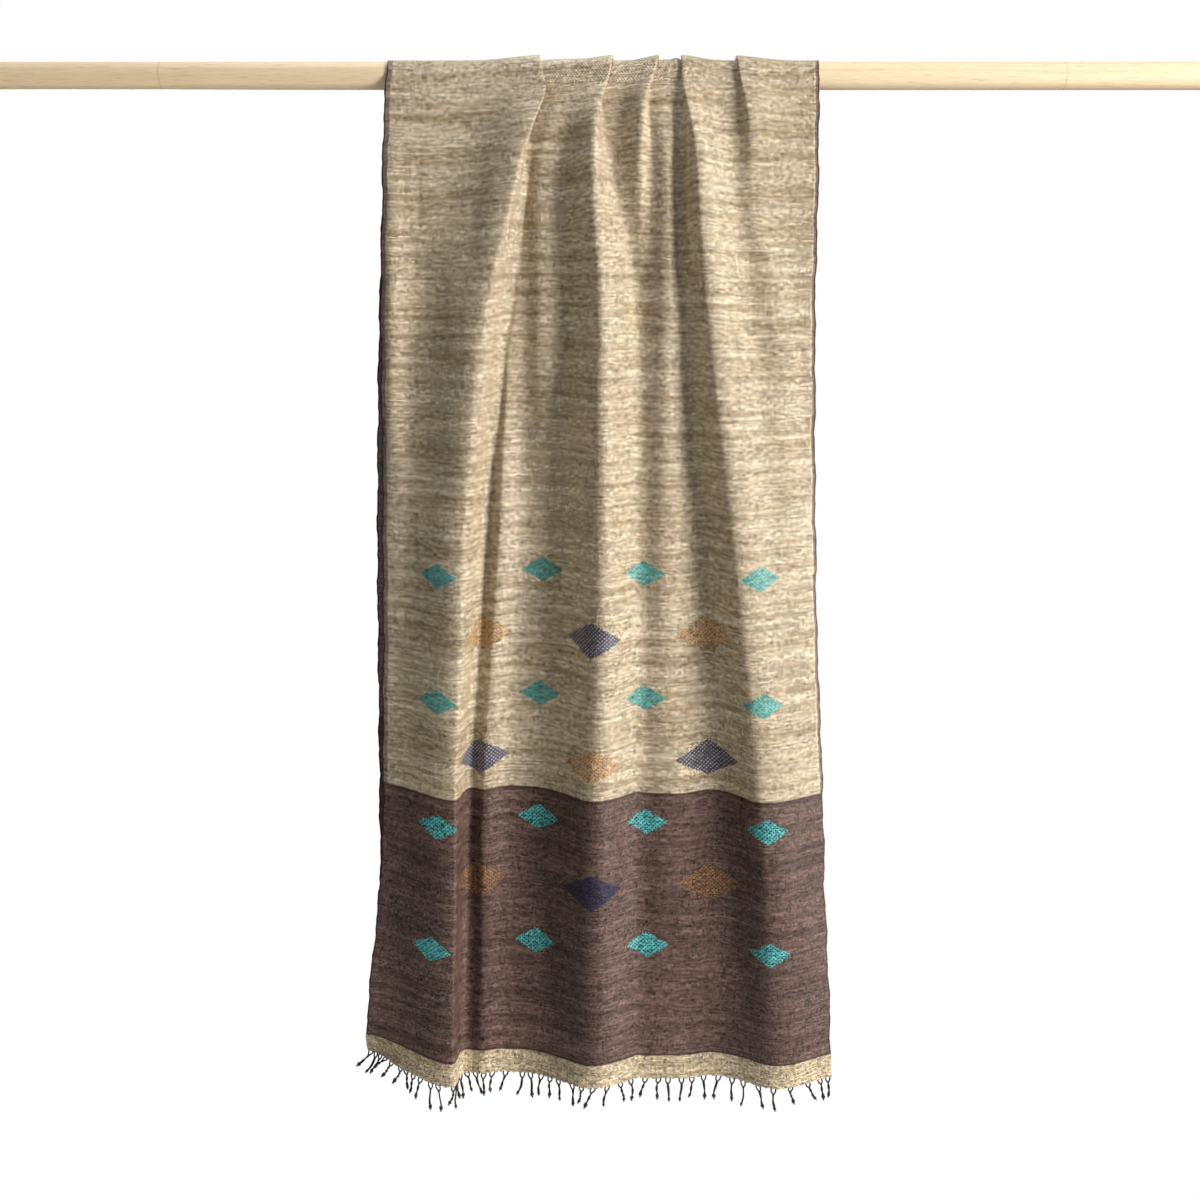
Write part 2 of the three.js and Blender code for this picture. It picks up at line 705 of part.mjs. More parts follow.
add("rod", rod(), COLOURS.rod);
add("rod_turn", geometryOf(stretch(cloth, ROWS.turn)), COLOURS.field);
add("front_field", geometryOf(stretch(cloth, ROWS.frontField)), COLOURS.field);
add("front_border", geometryOf(stretch(cloth, ROWS.frontBorder)), COLOURS.border);
add("front_end", geometryOf(stretch(cloth, ROWS.frontEnd, [true, false])), COLOURS.end);
add("front_fringe", geometryOf(fringe(cloth, ROWS.frontFringe, STRANDS)), COLOURS.fringe);
add("back_field", geometryOf(stretch(cloth, ROWS.backField)), COLOURS.field);
add("back_border", geometryOf(stretch(cloth, ROWS.backBorder)), COLOURS.border);
add("back_end", geometryOf(stretch(cloth, ROWS.backEnd, [true, false])), COLOURS.end);
add("back_fringe", geometryOf(fringe(cloth, ROWS.backFringe, BACK_STRANDS)), COLOURS.fringe);

export default group;
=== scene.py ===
"""Looks of a silk scarf hung over a round wooden rod.

Metres, +Z up, +X along the rod, -Y towards the front panel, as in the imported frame.
The cloth is measured by two lengths in millimetres: ``u`` across the warp, from the
left selvedge, and ``v`` along the warp, from the top of the rod. ``v`` is positive
down the front panel and negative down the back one.
"""

from __future__ import annotations

import logging
import math
from dataclasses import dataclass, field
from enum import Enum
from typing import Optional, Sequence, Union

import bpy
import numpy as np
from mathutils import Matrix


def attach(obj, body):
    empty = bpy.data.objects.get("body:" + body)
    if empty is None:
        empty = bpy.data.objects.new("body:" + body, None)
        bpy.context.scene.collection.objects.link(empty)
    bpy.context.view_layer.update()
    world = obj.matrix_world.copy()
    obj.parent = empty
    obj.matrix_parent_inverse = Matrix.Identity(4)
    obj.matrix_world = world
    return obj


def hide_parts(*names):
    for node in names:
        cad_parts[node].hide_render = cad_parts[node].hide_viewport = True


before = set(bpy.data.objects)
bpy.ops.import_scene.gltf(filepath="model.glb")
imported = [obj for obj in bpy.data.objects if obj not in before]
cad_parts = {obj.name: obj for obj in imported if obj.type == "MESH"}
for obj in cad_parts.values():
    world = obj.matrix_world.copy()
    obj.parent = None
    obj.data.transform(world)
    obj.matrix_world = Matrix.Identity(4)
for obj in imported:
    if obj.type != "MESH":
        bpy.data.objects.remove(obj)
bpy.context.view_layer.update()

LOG = logging.getLogger("silk_scarf")
MM = 0.001

Colour = tuple[float, float, float]
Columns = tuple[float, ...]


class Panel(Enum):
    """The two hanging panels, with the sign that ``v`` has on each."""

    FRONT = 1
    BACK = -1


# --------------------------------------------------------------------------- cloth sizes


@dataclass(frozen=True)
class ClothSizes:
    """Driving sizes of the woven length, in millimetres."""

    width: float = 480.0
    thickness: float = 0.8
    turn_radius: float = 13.45
    samples: int = 1280
    front_settle: float = 11.3
    back_settle: float = 4.0
    settle_over: float = 250.0
    sag: float = 0.28
    sag_over: float = 280.0
    lying_over: float = 58.0
    upright: float = 4.0
    steepest: float = 0.95
    soften: float = 1.1

    @property
    def quarter(self) -> float:
        """Length along the warp from the top of the rod to its side."""
        return self.turn_radius * math.pi / 2


@dataclass(frozen=True)
class Along:
    """Lengths along the warp, in millimetres, at which one stretch ends and the next starts."""

    front_fringe: float = 985.4
    front_hem: float = 982.0
    front_end: float = 961.0
    front_band: float = 710.0
    back_band: float = -646.0
    back_end: float = -897.0
    back_hem: float = -918.0
    back_fringe: float = -921.4


CLOTH = ClothSizes()
ALONG = Along()

LEVELS: Columns = (-921, -420, -115, -50, 0, 50, 115, 270, 480, 720, 979)
LEFT_EDGE: Columns = (-214, -218, -213, -209, -205, -207, -210, -212, -211, -211, -229)
RIGHT_EDGE: Columns = (210, 206, 206, 206, 207, 206, 206, 203, 203, 209, 217.5)


@dataclass(frozen=True)
class Fold:
    """One fold: a value for each level, or one value for all of them, in millimetres.

    The crest stands ``rise`` out of the cloth at ``centre`` across the panel. ``left``
    and ``right`` are its half widths, and ``lean`` carries the crest sideways until the
    fold lies over its neighbour.
    """

    name: str
    centre: Columns
    rise: Columns
    left: Union[float, Columns]
    right: Union[float, Columns]
    lean: Union[float, Columns] = 0.0


FOLDS: tuple[Fold, ...] = (
    Fold(
        "edge",
        centre=(-197.5, -197.5, -199.5, -203.5, -205, -203.5, -202, -201, -202, -207, -216.5),
        rise=(2, 3, 1.5, 0, 0, 0, 1.5, 3, 1.5, 0, 0),
        left=9,
        right=12,
    ),
    Fold(
        "roll",
        centre=(-123.5, -104.5, -90, -88, -84, -84, -98, -131, -145, -149, -149),
        rise=(24, 20, 10, 7, 4.9, 7, 10, 14, 18, 22, 24),
        left=(40, 36, 30, 24, 20, 24, 27, 31, 37, 43, 46),
        right=(8, 8, 8, 6.5, 7, 6.5, 15, 26, 23, 13, 9),
        lean=(0, 6, 10, 12, 12, 12, 9, 8, 7, 7, 7),
    ),
    Fold(
        "under",
        centre=(-76, -76, -45.5, -42, -40, -44, -57, -58, -56, -56, -56),
        rise=(3, 3, 2, 1.5, 1.5, 1.5, 3.2, 4.5, 0, 0, 0),
        left=(12, 12, 12, 12, 12, 12, 12, 12, 12, 12, 12),
        right=(14, 14, 14, 14, 14, 16, 22, 26, 22, 20, 20),
    ),
    Fold(
        "foot",
        centre=(-95, -95, -80, -70, -70, -70, -75, -88, -98, -112, -115),
        rise=(3, 2, 0, 0, 0, 0, 0, 1.5, 7, 7, 5),
        left=8,
        right=16,
    ),
    Fold(
        "middle",
        centre=(-4, 0, -8, -8, -8, -15, -12, -1, 0, -5, -7.5),
        rise=(28, 24, 12, 7, 4.7, 7, 12, 18, 22, 26, 28),
        left=(36, 34, 22, 16, 14, 15, 17, 22, 28, 36, 39),
        right=(40, 36, 14, 7.5, 7, 7.5, 12, 23, 28, 32, 34),
        lean=(0, 0, 2, 6, 9, 6, 2, 0, 0, 0, 0),
    ),
    Fold(
        "cowl",
        centre=(43, 43, 38, 41, 42, 33, 35, 34, 34, 34, 34),
        rise=(0, 0, 7, 7, 4.6, 7, 6, 0, 0, 0, 0),
        left=(10, 10, 13, 10, 9, 10, 13, 16, 16, 16, 16),
        right=(8, 8, 8, 6, 5.5, 6, 8, 12, 12, 12, 12),
        lean=(0, 0, 0, 3, 6, 3, 0, 0, 0, 0, 0),
    ),
    Fold(
        "second",
        centre=(52, 57, 60, 60, 61, 61, 60, 61, 58, 58, 56),
        rise=(7, 7, 5, 2, 0.8, 2, 5, 7.5, 8, 7.5, 6),
        left=(16, 16, 16, 16, 16, 16, 16, 20, 21, 22, 22),
        right=(9, 9, 8, 7, 6, 7, 10, 16, 25, 32, 36),
    ),
    Fold(
        "knob",
        centre=(74, 74, 76, 72, 70.5, 72, 76, 76, 76, 76, 76),
        rise=(0, 0, 0, 1.5, 2.6, 1.5, 0, 0, 0, 0, 0),
        left=3.5,
        right=3.5,
    ),
    Fold(
        "long",
        centre=(142.5, 123.5, 93, 90, 90, 86, 89, 102, 126, 151, 166),
        rise=(18, 16, 11, 7, 4.8, 7, 11, 13.5, 15.5, 17, 18),
        left=(26, 22, 9, 7, 6, 7, 10, 17, 21, 24, 30),
        right=(40, 36, 24, 16, 14, 16, 24, 34, 40, 46, 46),
        lean=(0, 0, 0, -3, -7, -3, 0, 0, 0, 0, 0),
    ),
    Fold(
        "far",
        centre=(180.5, 171, 142, 142, 144, 143, 142, 165, 183, 196, 200),
        rise=(3, 3, 4.5, 4.6, 4.5, 4.6, 2, 3, 3, 2, 0),
        left=(20, 18, 10, 7, 6, 7, 10, 18, 20, 24, 24),
        right=20,
        lean=(0, 0, 0, -3, -8, -3, 0, 0, 0, 0, 0),
    ),
    Fold(
        "swell",
        centre=(152, 152, 152, 152, 152, 152, 152, 152, 152, 152, 161.5),
        rise=(8, 7, 2, 0.5, 0, 0.5, 2, 4, 6, 8, 9),
        left=80,
        right=90,
    ),
)


@dataclass(frozen=True)
class Lift:
    """A lower corner that is drawn up, in millimetres."""

    at: float
    height: float
    spread: float = 60.0


@dataclass(frozen=True)
class Curl:
    """The lower left corner of the front panel, which curls back, in millimetres.

    ``furthest`` is the share of ``over`` at which the curl stops growing.
    """

    start: float = 925.0
    over: float = 57.0
    depth: float = 20.0
    spread: float = 26.0
    furthest: float = 1.1


LIFTS = (Lift(at=0.0, height=14.0), Lift(at=CLOTH.width, height=5.0))
CURL = Curl()


@dataclass(frozen=True)
class Crease:
    """A soft ridge, or a trough where ``depth`` is negative, in millimetres.

    ``start`` and ``end`` are places across and along the warp. The crease is deepest
    halfway between them and runs out at both.
    """

    start: tuple[float, float]
    end: tuple[float, float]
    width: float
    depth: float


CREASES: tuple[Crease, ...] = (
    Crease((34, 80), (37, 195), 3.5, -1.2),
    Crease((100, 60), (86, 260), 10.0, -1.2),
    Crease((56, 200), (50, 480), 12.0, -0.9),
    Crease((20, 330), (50, 470), 9.0, -0.8),
    Crease((268, 72), (272, 330), 13.0, 6.2),
    Crease((163, 84), (151, 236), 3.2, -2.2),
    Crease((154, 190), (138, 306), 3.2, -2.3),
    Crease((143, 245), (128, 440), 3.2, -2.2),
    Crease((132, 370), (116, 590), 3.4, -1.6),
    Crease((238, 190), (300, 172), 7.0, 1.2),
    Crease((359, 60), (429, 350), 8.0, -1.2),
    Crease((330, 120), (352, 300), 10.0, 0.9),
    Crease((400, 40), (392, 150), 8.0, -1.1),
    Crease((430, 60), (470, 45), 6.0, 0.7),
    Crease((405, 230), (470, 190), 10.0, 0.9),
    Crease((415, 330), (474, 300), 9.0, -0.8),
    Crease((385, 430), (470, 455), 14.0, 0.9),
    Crease((120, 520), (150, 700), 12.0, 0.9),
    Crease((300, 560), (318, 800), 15.0, -1.0),
    Crease((28, 560), (66, 760), 14.0, 0.9),
    Crease((352, 640), (372, 900), 13.0, 0.9),
    Crease((440, 700), (452, 930), 10.0, -0.8),
    Crease((180, 760), (196, 960), 12.0, -0.9),
    Crease((60, -90), (74, -320), 12.0, -1.2),
    Crease((210, -120), (232, -380), 10.0, 1.0),
    Crease((330, -200), (348, -520), 12.0, -1.0),
    Crease((430, -60), (418, -300), 9.0, 0.9),
    Crease((120, -460), (150, -760), 14.0, 1.0),
    Crease((390, -560), (404, -860), 13.0, -1.0),
)


@dataclass(frozen=True)
class Ripple:
    """A shallow wave over the cloth, or along its edges, in millimetres."""

    across: float
    along: float
    phase: float
    height: float


RIPPLES = (
    Ripple(across=163.0, along=214.0, phase=0.4, height=0.55),
    Ripple(across=-97.0, along=331.0, phase=2.1, height=0.45),
    Ripple(across=61.0, along=-143.0, phase=4.0, height=0.25),
    Ripple(across=-310.0, along=88.0, phase=1.3, height=0.35),
)
EDGE_WAVES = (
    Ripple(across=0.0, along=71.0, phase=0.7, height=0.55),
    Ripple(across=0.0, along=29.0, phase=2.9, height=0.35),
    Ripple(across=0.0, along=12.3, phase=1.9, height=0.22),
)
EDGE_WAVE_REACH = 9.0
CREASES_FROM = 26.0
CREASES_OVER = 60.0


# --------------------------------------------------------------------------- drape


def smooth(x: np.ndarray | float) -> np.ndarray | float:
    """A smooth step from 0 to 1 while ``x`` goes from 0 to 1."""
    t = np.clip(x, 0.0, 1.0)
    return t * t * (3.0 - 2.0 * t)


class LevelCurve:
    """A curve through one value a level that never overshoots them."""

    def __init__(self, values: Union[float, Columns]) -> None:
        """Args:
        values: one value for each level, or one for all.
        """
        self.at_levels = np.asarray(LEVELS, float)
        self.values = np.broadcast_to(np.asarray(values, float), self.at_levels.shape)
        slopes = np.diff(self.values) / np.diff(self.at_levels)
        before, after = slopes[:-1], slopes[1:]
        turns = before * after <= 0
        safe_before, safe_after = np.where(turns, 1.0, before), np.where(turns, 1.0, after)
        inner = np.where(turns, 0.0, 2.0 / (1.0 / safe_before + 1.0 / safe_after))
        self.tangents = np.concatenate([slopes[:1], inner, slopes[-1:]])

    def at(self, v: float) -> float:
        """Args:
            v: length along the warp.

        Returns:
            The curve's value there.
        """
        last = len(self.at_levels) - 2
        i = int(np.clip(np.searchsorted(self.at_levels, v) - 1, 0, last))
        step = self.at_levels[i + 1] - self.at_levels[i]
        t = (v - self.at_levels[i]) / step
        return float(
            self.values[i] * (1 + 2 * t) * (1 - t) ** 2
            + self.tangents[i] * step * t * (1 - t) ** 2
            + self.values[i + 1] * t * t * (3 - 2 * t)
            + self.tangents[i + 1] * step * t * t * (t - 1)
        )


class FoldCurves:
    """A fold's five curves along the warp, and the bells they give."""

    LAP_TIP = (0.0, 0.5)
    LAP_TURN = (1.1, 0.75)
    LEAST_LEAN = 0.5

    def __init__(self, fold: Fold) -> None:
        """Args:
        fold: the row of the table.
        """
        self.centre = LevelCurve(fold.centre)
        self.rise = LevelCurve(fold.rise)
        self.left = LevelCurve(fold.left)
        self.right = LevelCurve(fold.right)
        self.lean = LevelCurve(fold.lean)

    def bells(self, flat: np.ndarray, v: float, lying: float) -> tuple[np.ndarray, np.ndarray]:
        """Args:
            flat: places across the panel.
            v: length along the warp.
            lying: how flat the pleats lie, from 0 to 1.

        Returns:
            The fold's sideways and outward moves at those places.
        """
        centre, rise, lean = self.centre.at(v), self.rise.at(v), self.lean.at(v)
        reach = np.where(flat < centre, self.left.at(v), self.right.at(v))
        t = (flat - centre) / reach
        bell = np.exp(-t * t)
        out = bell
        if abs(lean) > self.LEAST_LEAN:
            under = t * math.copysign(1.0, lean)
            steps = 1.0 - 0.5 * smooth((under - self.LAP_TIP[0]) / self.LAP_TIP[1])
            steps = steps - 0.5 * smooth((under - self.LAP_TURN[0]) / self.LAP_TURN[1])
            hold = lying * min(1.0, abs(lean) / CLOTH.upright)
            out = np.where(under > 0, bell + (steps - bell) * hold, bell)
        return lean * bell, rise * out


class Section:
    """The cloth's line across the warp at one length along it."""

    HALVINGS = 22
    MOST_SCALE = 4.0
    TURN_SHARE = 0.5
    TURN_BLUR = 2.6

    def __init__(self, v: float, edges: tuple[LevelCurve, LevelCurve], folds: Sequence[FoldCurves]) -> None:
        """Args:
        v: length along the warp.
        edges: the panel's left and right edges.
        folds: the folds that cross it.
        """
        count = CLOTH.samples + 1
        flat = np.linspace(edges[0].at(v), edges[1].at(v), count)
        self.lying = math.exp(-((v / CLOTH.lying_over) ** 4))
        self.flat = flat
        self.side = np.zeros(count)
        self.out = np.zeros(count)
        for fold in folds:
            side, out = fold.bells(flat, v, self.lying)
            self.side += side
            self.out += out
        low, high = 0.0, self.MOST_SCALE
        for _ in range(self.HALVINGS):
            scale = (low + high) / 2
            if self._shape(scale)[2][-1] < CLOTH.width:
                low = scale
            else:
                high = scale
        x, h, along = self._shape((low + high) / 2)
        even = np.linspace(0.0, along[-1], count)
        self.u = np.linspace(0.0, CLOTH.width, count)
        self.x = np.interp(even, along, x)
        self.h = np.interp(even, along, h)

    def _shape(self, scale: float) -> tuple[np.ndarray, np.ndarray, np.ndarray]:
        """The line with its folds at one scale, softened, and the length along it."""
        x = self.flat + scale * self.side
        h = scale ** (1.0 - self.lying) * self.out
        along = self._lengths(x, h)
        even = np.linspace(0.0, along[-1], len(x))
        x = self._soften(np.interp(even, along, x))
        h = self._soften(np.interp(even, along, h))
        return x, h, self._lengths(x, h)

    @staticmethod
    def _lengths(x: np.ndarray, h: np.ndarray) -> np.ndarray:
        """Length along a line of points."""
        return np.concatenate([[0.0], np.cumsum(np.hypot(np.diff(x), np.diff(h)))])

    @staticmethod
    def _soften(values: np.ndarray) -> np.ndarray:
        """Values along the line, blurred over a thread or two."""
        pitch = CLOTH.width / CLOTH.samples
        reach = math.ceil(3 * CLOTH.soften / pitch)
        weights = np.exp(-0.5 * (np.arange(-reach, reach + 1) * pitch / CLOTH.soften) ** 2)
        weights /= weights.sum()
        first = 2 * values[0] - values[reach:0:-1]
        last = 2 * values[-1] - values[-2 : -reach - 2 : -1]
        return np.convolve(np.concatenate([first, values, last]), weights, "valid")

    def columns(self, count: int) -> np.ndarray:
        """Args:
            count: number of spaces across the warp.

        Returns:
            Places across the warp, closer where the line turns.
        """
        angle = np.unwrap(np.arctan2(np.diff(self.h), np.diff(self.x)))
        turn = np.abs(np.diff(angle, prepend=angle[:1]))
        pitch = CLOTH.width / CLOTH.samples
        reach = int(3 * self.TURN_BLUR / pitch)
        weights = np.exp(-0.5 * (np.arange(-reach, reach + 1) * pitch / self.TURN_BLUR) ** 2)
        turn = np.convolve(np.pad(turn, reach, "edge"), weights / weights.sum(), "valid")
        share = (1 - self.TURN_SHARE) / len(turn) + self.TURN_SHARE * turn / turn.sum()
        total = np.concatenate([[0.0], np.cumsum(share)])
        return np.interp(np.linspace(0.0, total[-1], count + 1), total, self.u)


class Drape:
    """The whole cloth as a surface: a point for each place across and along the warp."""

    HANG_STEP = 3.0
    HANG_COLUMNS = 320
    PLACE_STEP = 2.0

    def __init__(self) -> None:
        """Works out how far each thread falls down the two panels."""
        self.edges = (LevelCurve(LEFT_EDGE), LevelCurve(RIGHT_EDGE))
        self.folds = [FoldCurves(fold) for fold in FOLDS]
        self.sections: dict[float, Section] = {}
        self.hang_u = np.linspace(0.0, CLOTH.width, self.HANG_COLUMNS + 1)
        self.falls = {panel: self._hang(panel) for panel in Panel}

    def section(self, v: float) -> Section:
        """Args:
            v: length along the warp.

        Returns:
            The section there, worked out once.
        """
        key = round(v, 3)
        if key not in self.sections:
            self.sections[key] = Section(v, self.edges, self.folds)
        return self.sections[key]

    @staticmethod
    def _settle(v: float) -> float:
        """How far the folds of a panel sink back to straddle it."""
        return CLOTH.front_settle if v > 0 else CLOTH.back_settle

    def _outward(self, v: float, h: np.ndarray) -> np.ndarray:
        """Distance of the cloth from the rod's axis, in front or behind."""
        fade = smooth((abs(v) - CLOTH.quarter) / CLOTH.settle_over)
        return CLOTH.turn_radius + h - self._settle(v) * fade

    @staticmethod
    def _curl(us: np.ndarray, v: float) -> np.ndarray:
        """How far the front panel's lower left corner curls back."""
        t = min(max((v - CURL.start) / CURL.over, 0.0), CURL.furthest)
        return CURL.depth * t * t * np.exp(-((us / CURL.spread) ** 2))

    def _hang(self, panel: Panel) -> np.ndarray:
        """Heights of a panel, row by row: each thread keeps its length as it goes in and out."""
        end = ALONG.front_fringe if panel is Panel.FRONT else -ALONG.back_fringe
        step = self.HANG_STEP
        count = int((end - CLOTH.quarter) / step) + 3
        heights = [np.zeros(len(self.hang_u))]
        before: Optional[tuple[np.ndarray, np.ndarray]] = None
        for i in range(count):
            v = panel.value * (CLOTH.quarter + i * step)
            section = self.section(v)
            x = np.interp(self.hang_u, section.u, section.x)
            h = np.interp(self.hang_u, section.u, section.h)
            y = self._outward(v, h) - self._curl(self.hang_u, v)
            if before is not None:
                left = step**2 - (x - before[0]) ** 2 - (y - before[1]) ** 2
                drop = np.sqrt(np.maximum(left, (CLOTH.steepest * step) ** 2))
                heights.append(heights[-1] - drop)
            before = (x, y)
        return np.array(heights)

    def _height(self, us: np.ndarray, v: float) -> np.ndarray:
        """Height of a hanging panel's threads before the folds sag."""
        rows = self.falls[Panel.FRONT if v > 0 else Panel.BACK]
        last = len(rows) - 1
        i = min(max((abs(v) - CLOTH.quarter) / self.HANG_STEP, 0.0), float(last))
        a = min(int(i), last - 1)
        row = rows[a] * (1 - (i - a)) + rows[a + 1] * (i - a)
        return np.interp(us, self.hang_u, row)

    @staticmethod
    def _relief(us: np.ndarray, v: float) -> np.ndarray:
        """Creases and ripples: how far the cloth stands out of its smooth form."""
        total = np.zeros_like(us)
        for ripple in RIPPLES:
            angle = 2 * math.pi * (us / ripple.across + v / ripple.along) + ripple.phase
            total += ripple.height * np.sin(angle)
        for crease in CREASES:
            (u0, v0), (u1, v1) = crease.start, crease.end
            run, fall = u1 - u0, v1 - v0
            length = math.hypot(run, fall)
            s = ((us - u0) * run + (v - v0) * fall) / length**2
            d = ((us - u0) * fall - (v - v0) * run) / length
            taper = np.sin(math.pi * np.clip(s, 0.0, 1.0)) ** 2
            total += crease.depth * taper * np.exp(-((d / crease.width) ** 2))
        return total * smooth((abs(v) - CREASES_FROM) / CREASES_OVER)

    @staticmethod
    def _edge_wave(us: np.ndarray, v: float) -> np.ndarray:
        """How far the two selvedges wander sideways."""
        wave = sum(w.height * math.sin(2 * math.pi * v / w.along + w.phase) for w in EDGE_WAVES)
        other = sum(w.height * math.cos(2 * math.pi * v / w.along + 2 * w.phase) for w in EDGE_WAVES)
        near_left = np.exp(-((us / EDGE_WAVE_REACH) ** 2))
        near_right = np.exp(-(((CLOTH.width - us) / EDGE_WAVE_REACH) ** 2))
        return wave * near_left + other * near_right

    def row(self, us: np.ndarray, v: float) -> np.ndarray:
        """Args:
            us: places across the warp.
            v: length along it.

        Returns:
            The cloth's points there, one a row, in millimetres.
        """
        section = self.section(v)
        x = np.interp(us, section.u, section.x)
        h = np.interp(us, section.u, section.h)
        slope_x = np.interp(us, section.u, np.gradient(section.x, section.u))
        slope_h = np.interp(us, section.u, np.gradient(section.h, section.u))
        relief = self._relief(us, v)
        x = x - relief * slope_h + self._edge_wave(us, v)
        out = self._outward(v, h) + relief * slope_x
        if abs(v) <= CLOTH.quarter:
            angle = v / CLOTH.turn_radius
            return np.stack([x, -out * math.sin(angle), out * math.cos(angle)], axis=-1)
        fade = smooth((abs(v) - CLOTH.quarter) / CLOTH.sag_over)
        z = self._height(us, v) - CLOTH.sag * (h - self._settle(v)) * fade
        for lift in LIFTS:
            near = np.exp(-(((us - lift.at) / lift.spread) ** 2))
            z = z + lift.height * near * (abs(v) / ALONG.front_hem) ** 2
        y = self._curl(us, v) - out if v > 0 else out
        return np.stack([x, y, z], axis=-1)

    def places(self, us: np.ndarray, vs: np.ndarray) -> np.ndarray:
        """Args:
            us: places across the warp.
            vs: a length along it for each of them.

        Returns:
            Points on the cloth, found between rows a step apart.
        """
        step = self.PLACE_STEP
        low = math.floor(vs.min() / step) * step
        count = int((vs.max() - low) / step) + 2
        rows = np.stack([self.row(us, low + step * i) for i in range(count)])
        i = (vs - low) / step
        a = i.astype(int)
        t = (i - a)[:, None]
        k = np.arange(len(us))
        return rows[a, k] * (1 - t) + rows[a + 1, k] * t


# --------------------------------------------------------------------------- shader trees


def linear(red: int, green: int, blue: int) -> Colour:
    """A colour as a shader takes it, from its display values of 0 to 255."""

    def channel(value: int) -> float:
        """One display value made linear."""
        c = value / 255
        return c / 12.92 if c <= 0.04045 else ((c + 0.055) / 1.055) ** 2.4

    return channel(red), channel(green), channel(blue)


class Wire:
    """A number that runs through a shader tree, with arithmetic that adds its nodes."""

    def __init__(self, graph: "Graph", socket: bpy.types.NodeSocket) -> None:
        """Args:
        graph: the tree.
        socket: the output that the number comes from.
        """
        self.graph = graph
        self.socket = socket

    def __add__(self, other: "Number") -> "Wire":
        """Sum."""
        return self.graph.math("ADD", self, other)

    def __radd__(self, other: float) -> "Wire":
        """Sum with a plain number first."""
        return self.graph.math("ADD", other, self)

    def __sub__(self, other: "Number") -> "Wire":
        """Difference."""
        return self.graph.math("SUBTRACT", self, other)

    def __rsub__(self, other: float) -> "Wire":
        """Difference from a plain number."""
        return self.graph.math("SUBTRACT", other, self)

    def __mul__(self, other: "Number") -> "Wire":
        """Product."""
        return self.graph.math("MULTIPLY", self, other)

    def __rmul__(self, other: float) -> "Wire":
        """Product with a plain number first."""
        return self.graph.math("MULTIPLY", other, self)

    def __truediv__(self, other: "Number") -> "Wire":
        """Quotient."""
        return self.graph.math("DIVIDE", self, other)

    def __abs__(self) -> "Wire":
        """Size without its sign."""
        return self.graph.math("ABSOLUTE", self)

    def __floor__(self) -> "Wire":
        """Next whole number down."""
        return self.graph.math("FLOOR", self)

    def odd(self) -> "Wire":
        """1 for an odd whole number, and 0 for an even one."""
        return self - 2.0 * math.floor(self / 2.0)

    def wave(self, pitch: float) -> "Wire":
        """A cosine of this length with one crest every ``pitch``."""
        return self.graph.math("COSINE", self * (2 * math.pi / pitch))

    def over(self, limit: "Number") -> "Wire":
        """1 where the number is over the limit, and 0 elsewhere."""
        return self.graph.math("GREATER_THAN", self, limit)

    def least(self, other: "Number") -> "Wire":
        """The smaller of two numbers."""
        return self.graph.math("MINIMUM", self, other)

    def most(self, other: "Number") -> "Wire":
        """The larger of two numbers."""
        return self.graph.math("MAXIMUM", self, other)

    def ramp(self, low: float, high: float) -> "Wire":
        """A smooth step from 0 to 1 while the number goes from low to high."""
        node = self.graph.add("ShaderNodeMapRange", interpolation_type="SMOOTHSTEP")
        self.graph.feed(node.inputs[0], self)
        node.inputs[1].default_value = low
        node.inputs[2].default_value = high
        return Wire(self.graph, node.outputs[0])

    def band(self, low: float, high: float, soft: float) -> "Wire":
        """1 between low and high, with soft sides."""
        return self.ramp(low - soft, low + soft) * (1.0 - self.ramp(high - soft, high + soft))


Number = Union[Wire, float]
Paint = Union[Colour, bpy.types.NodeSocket]


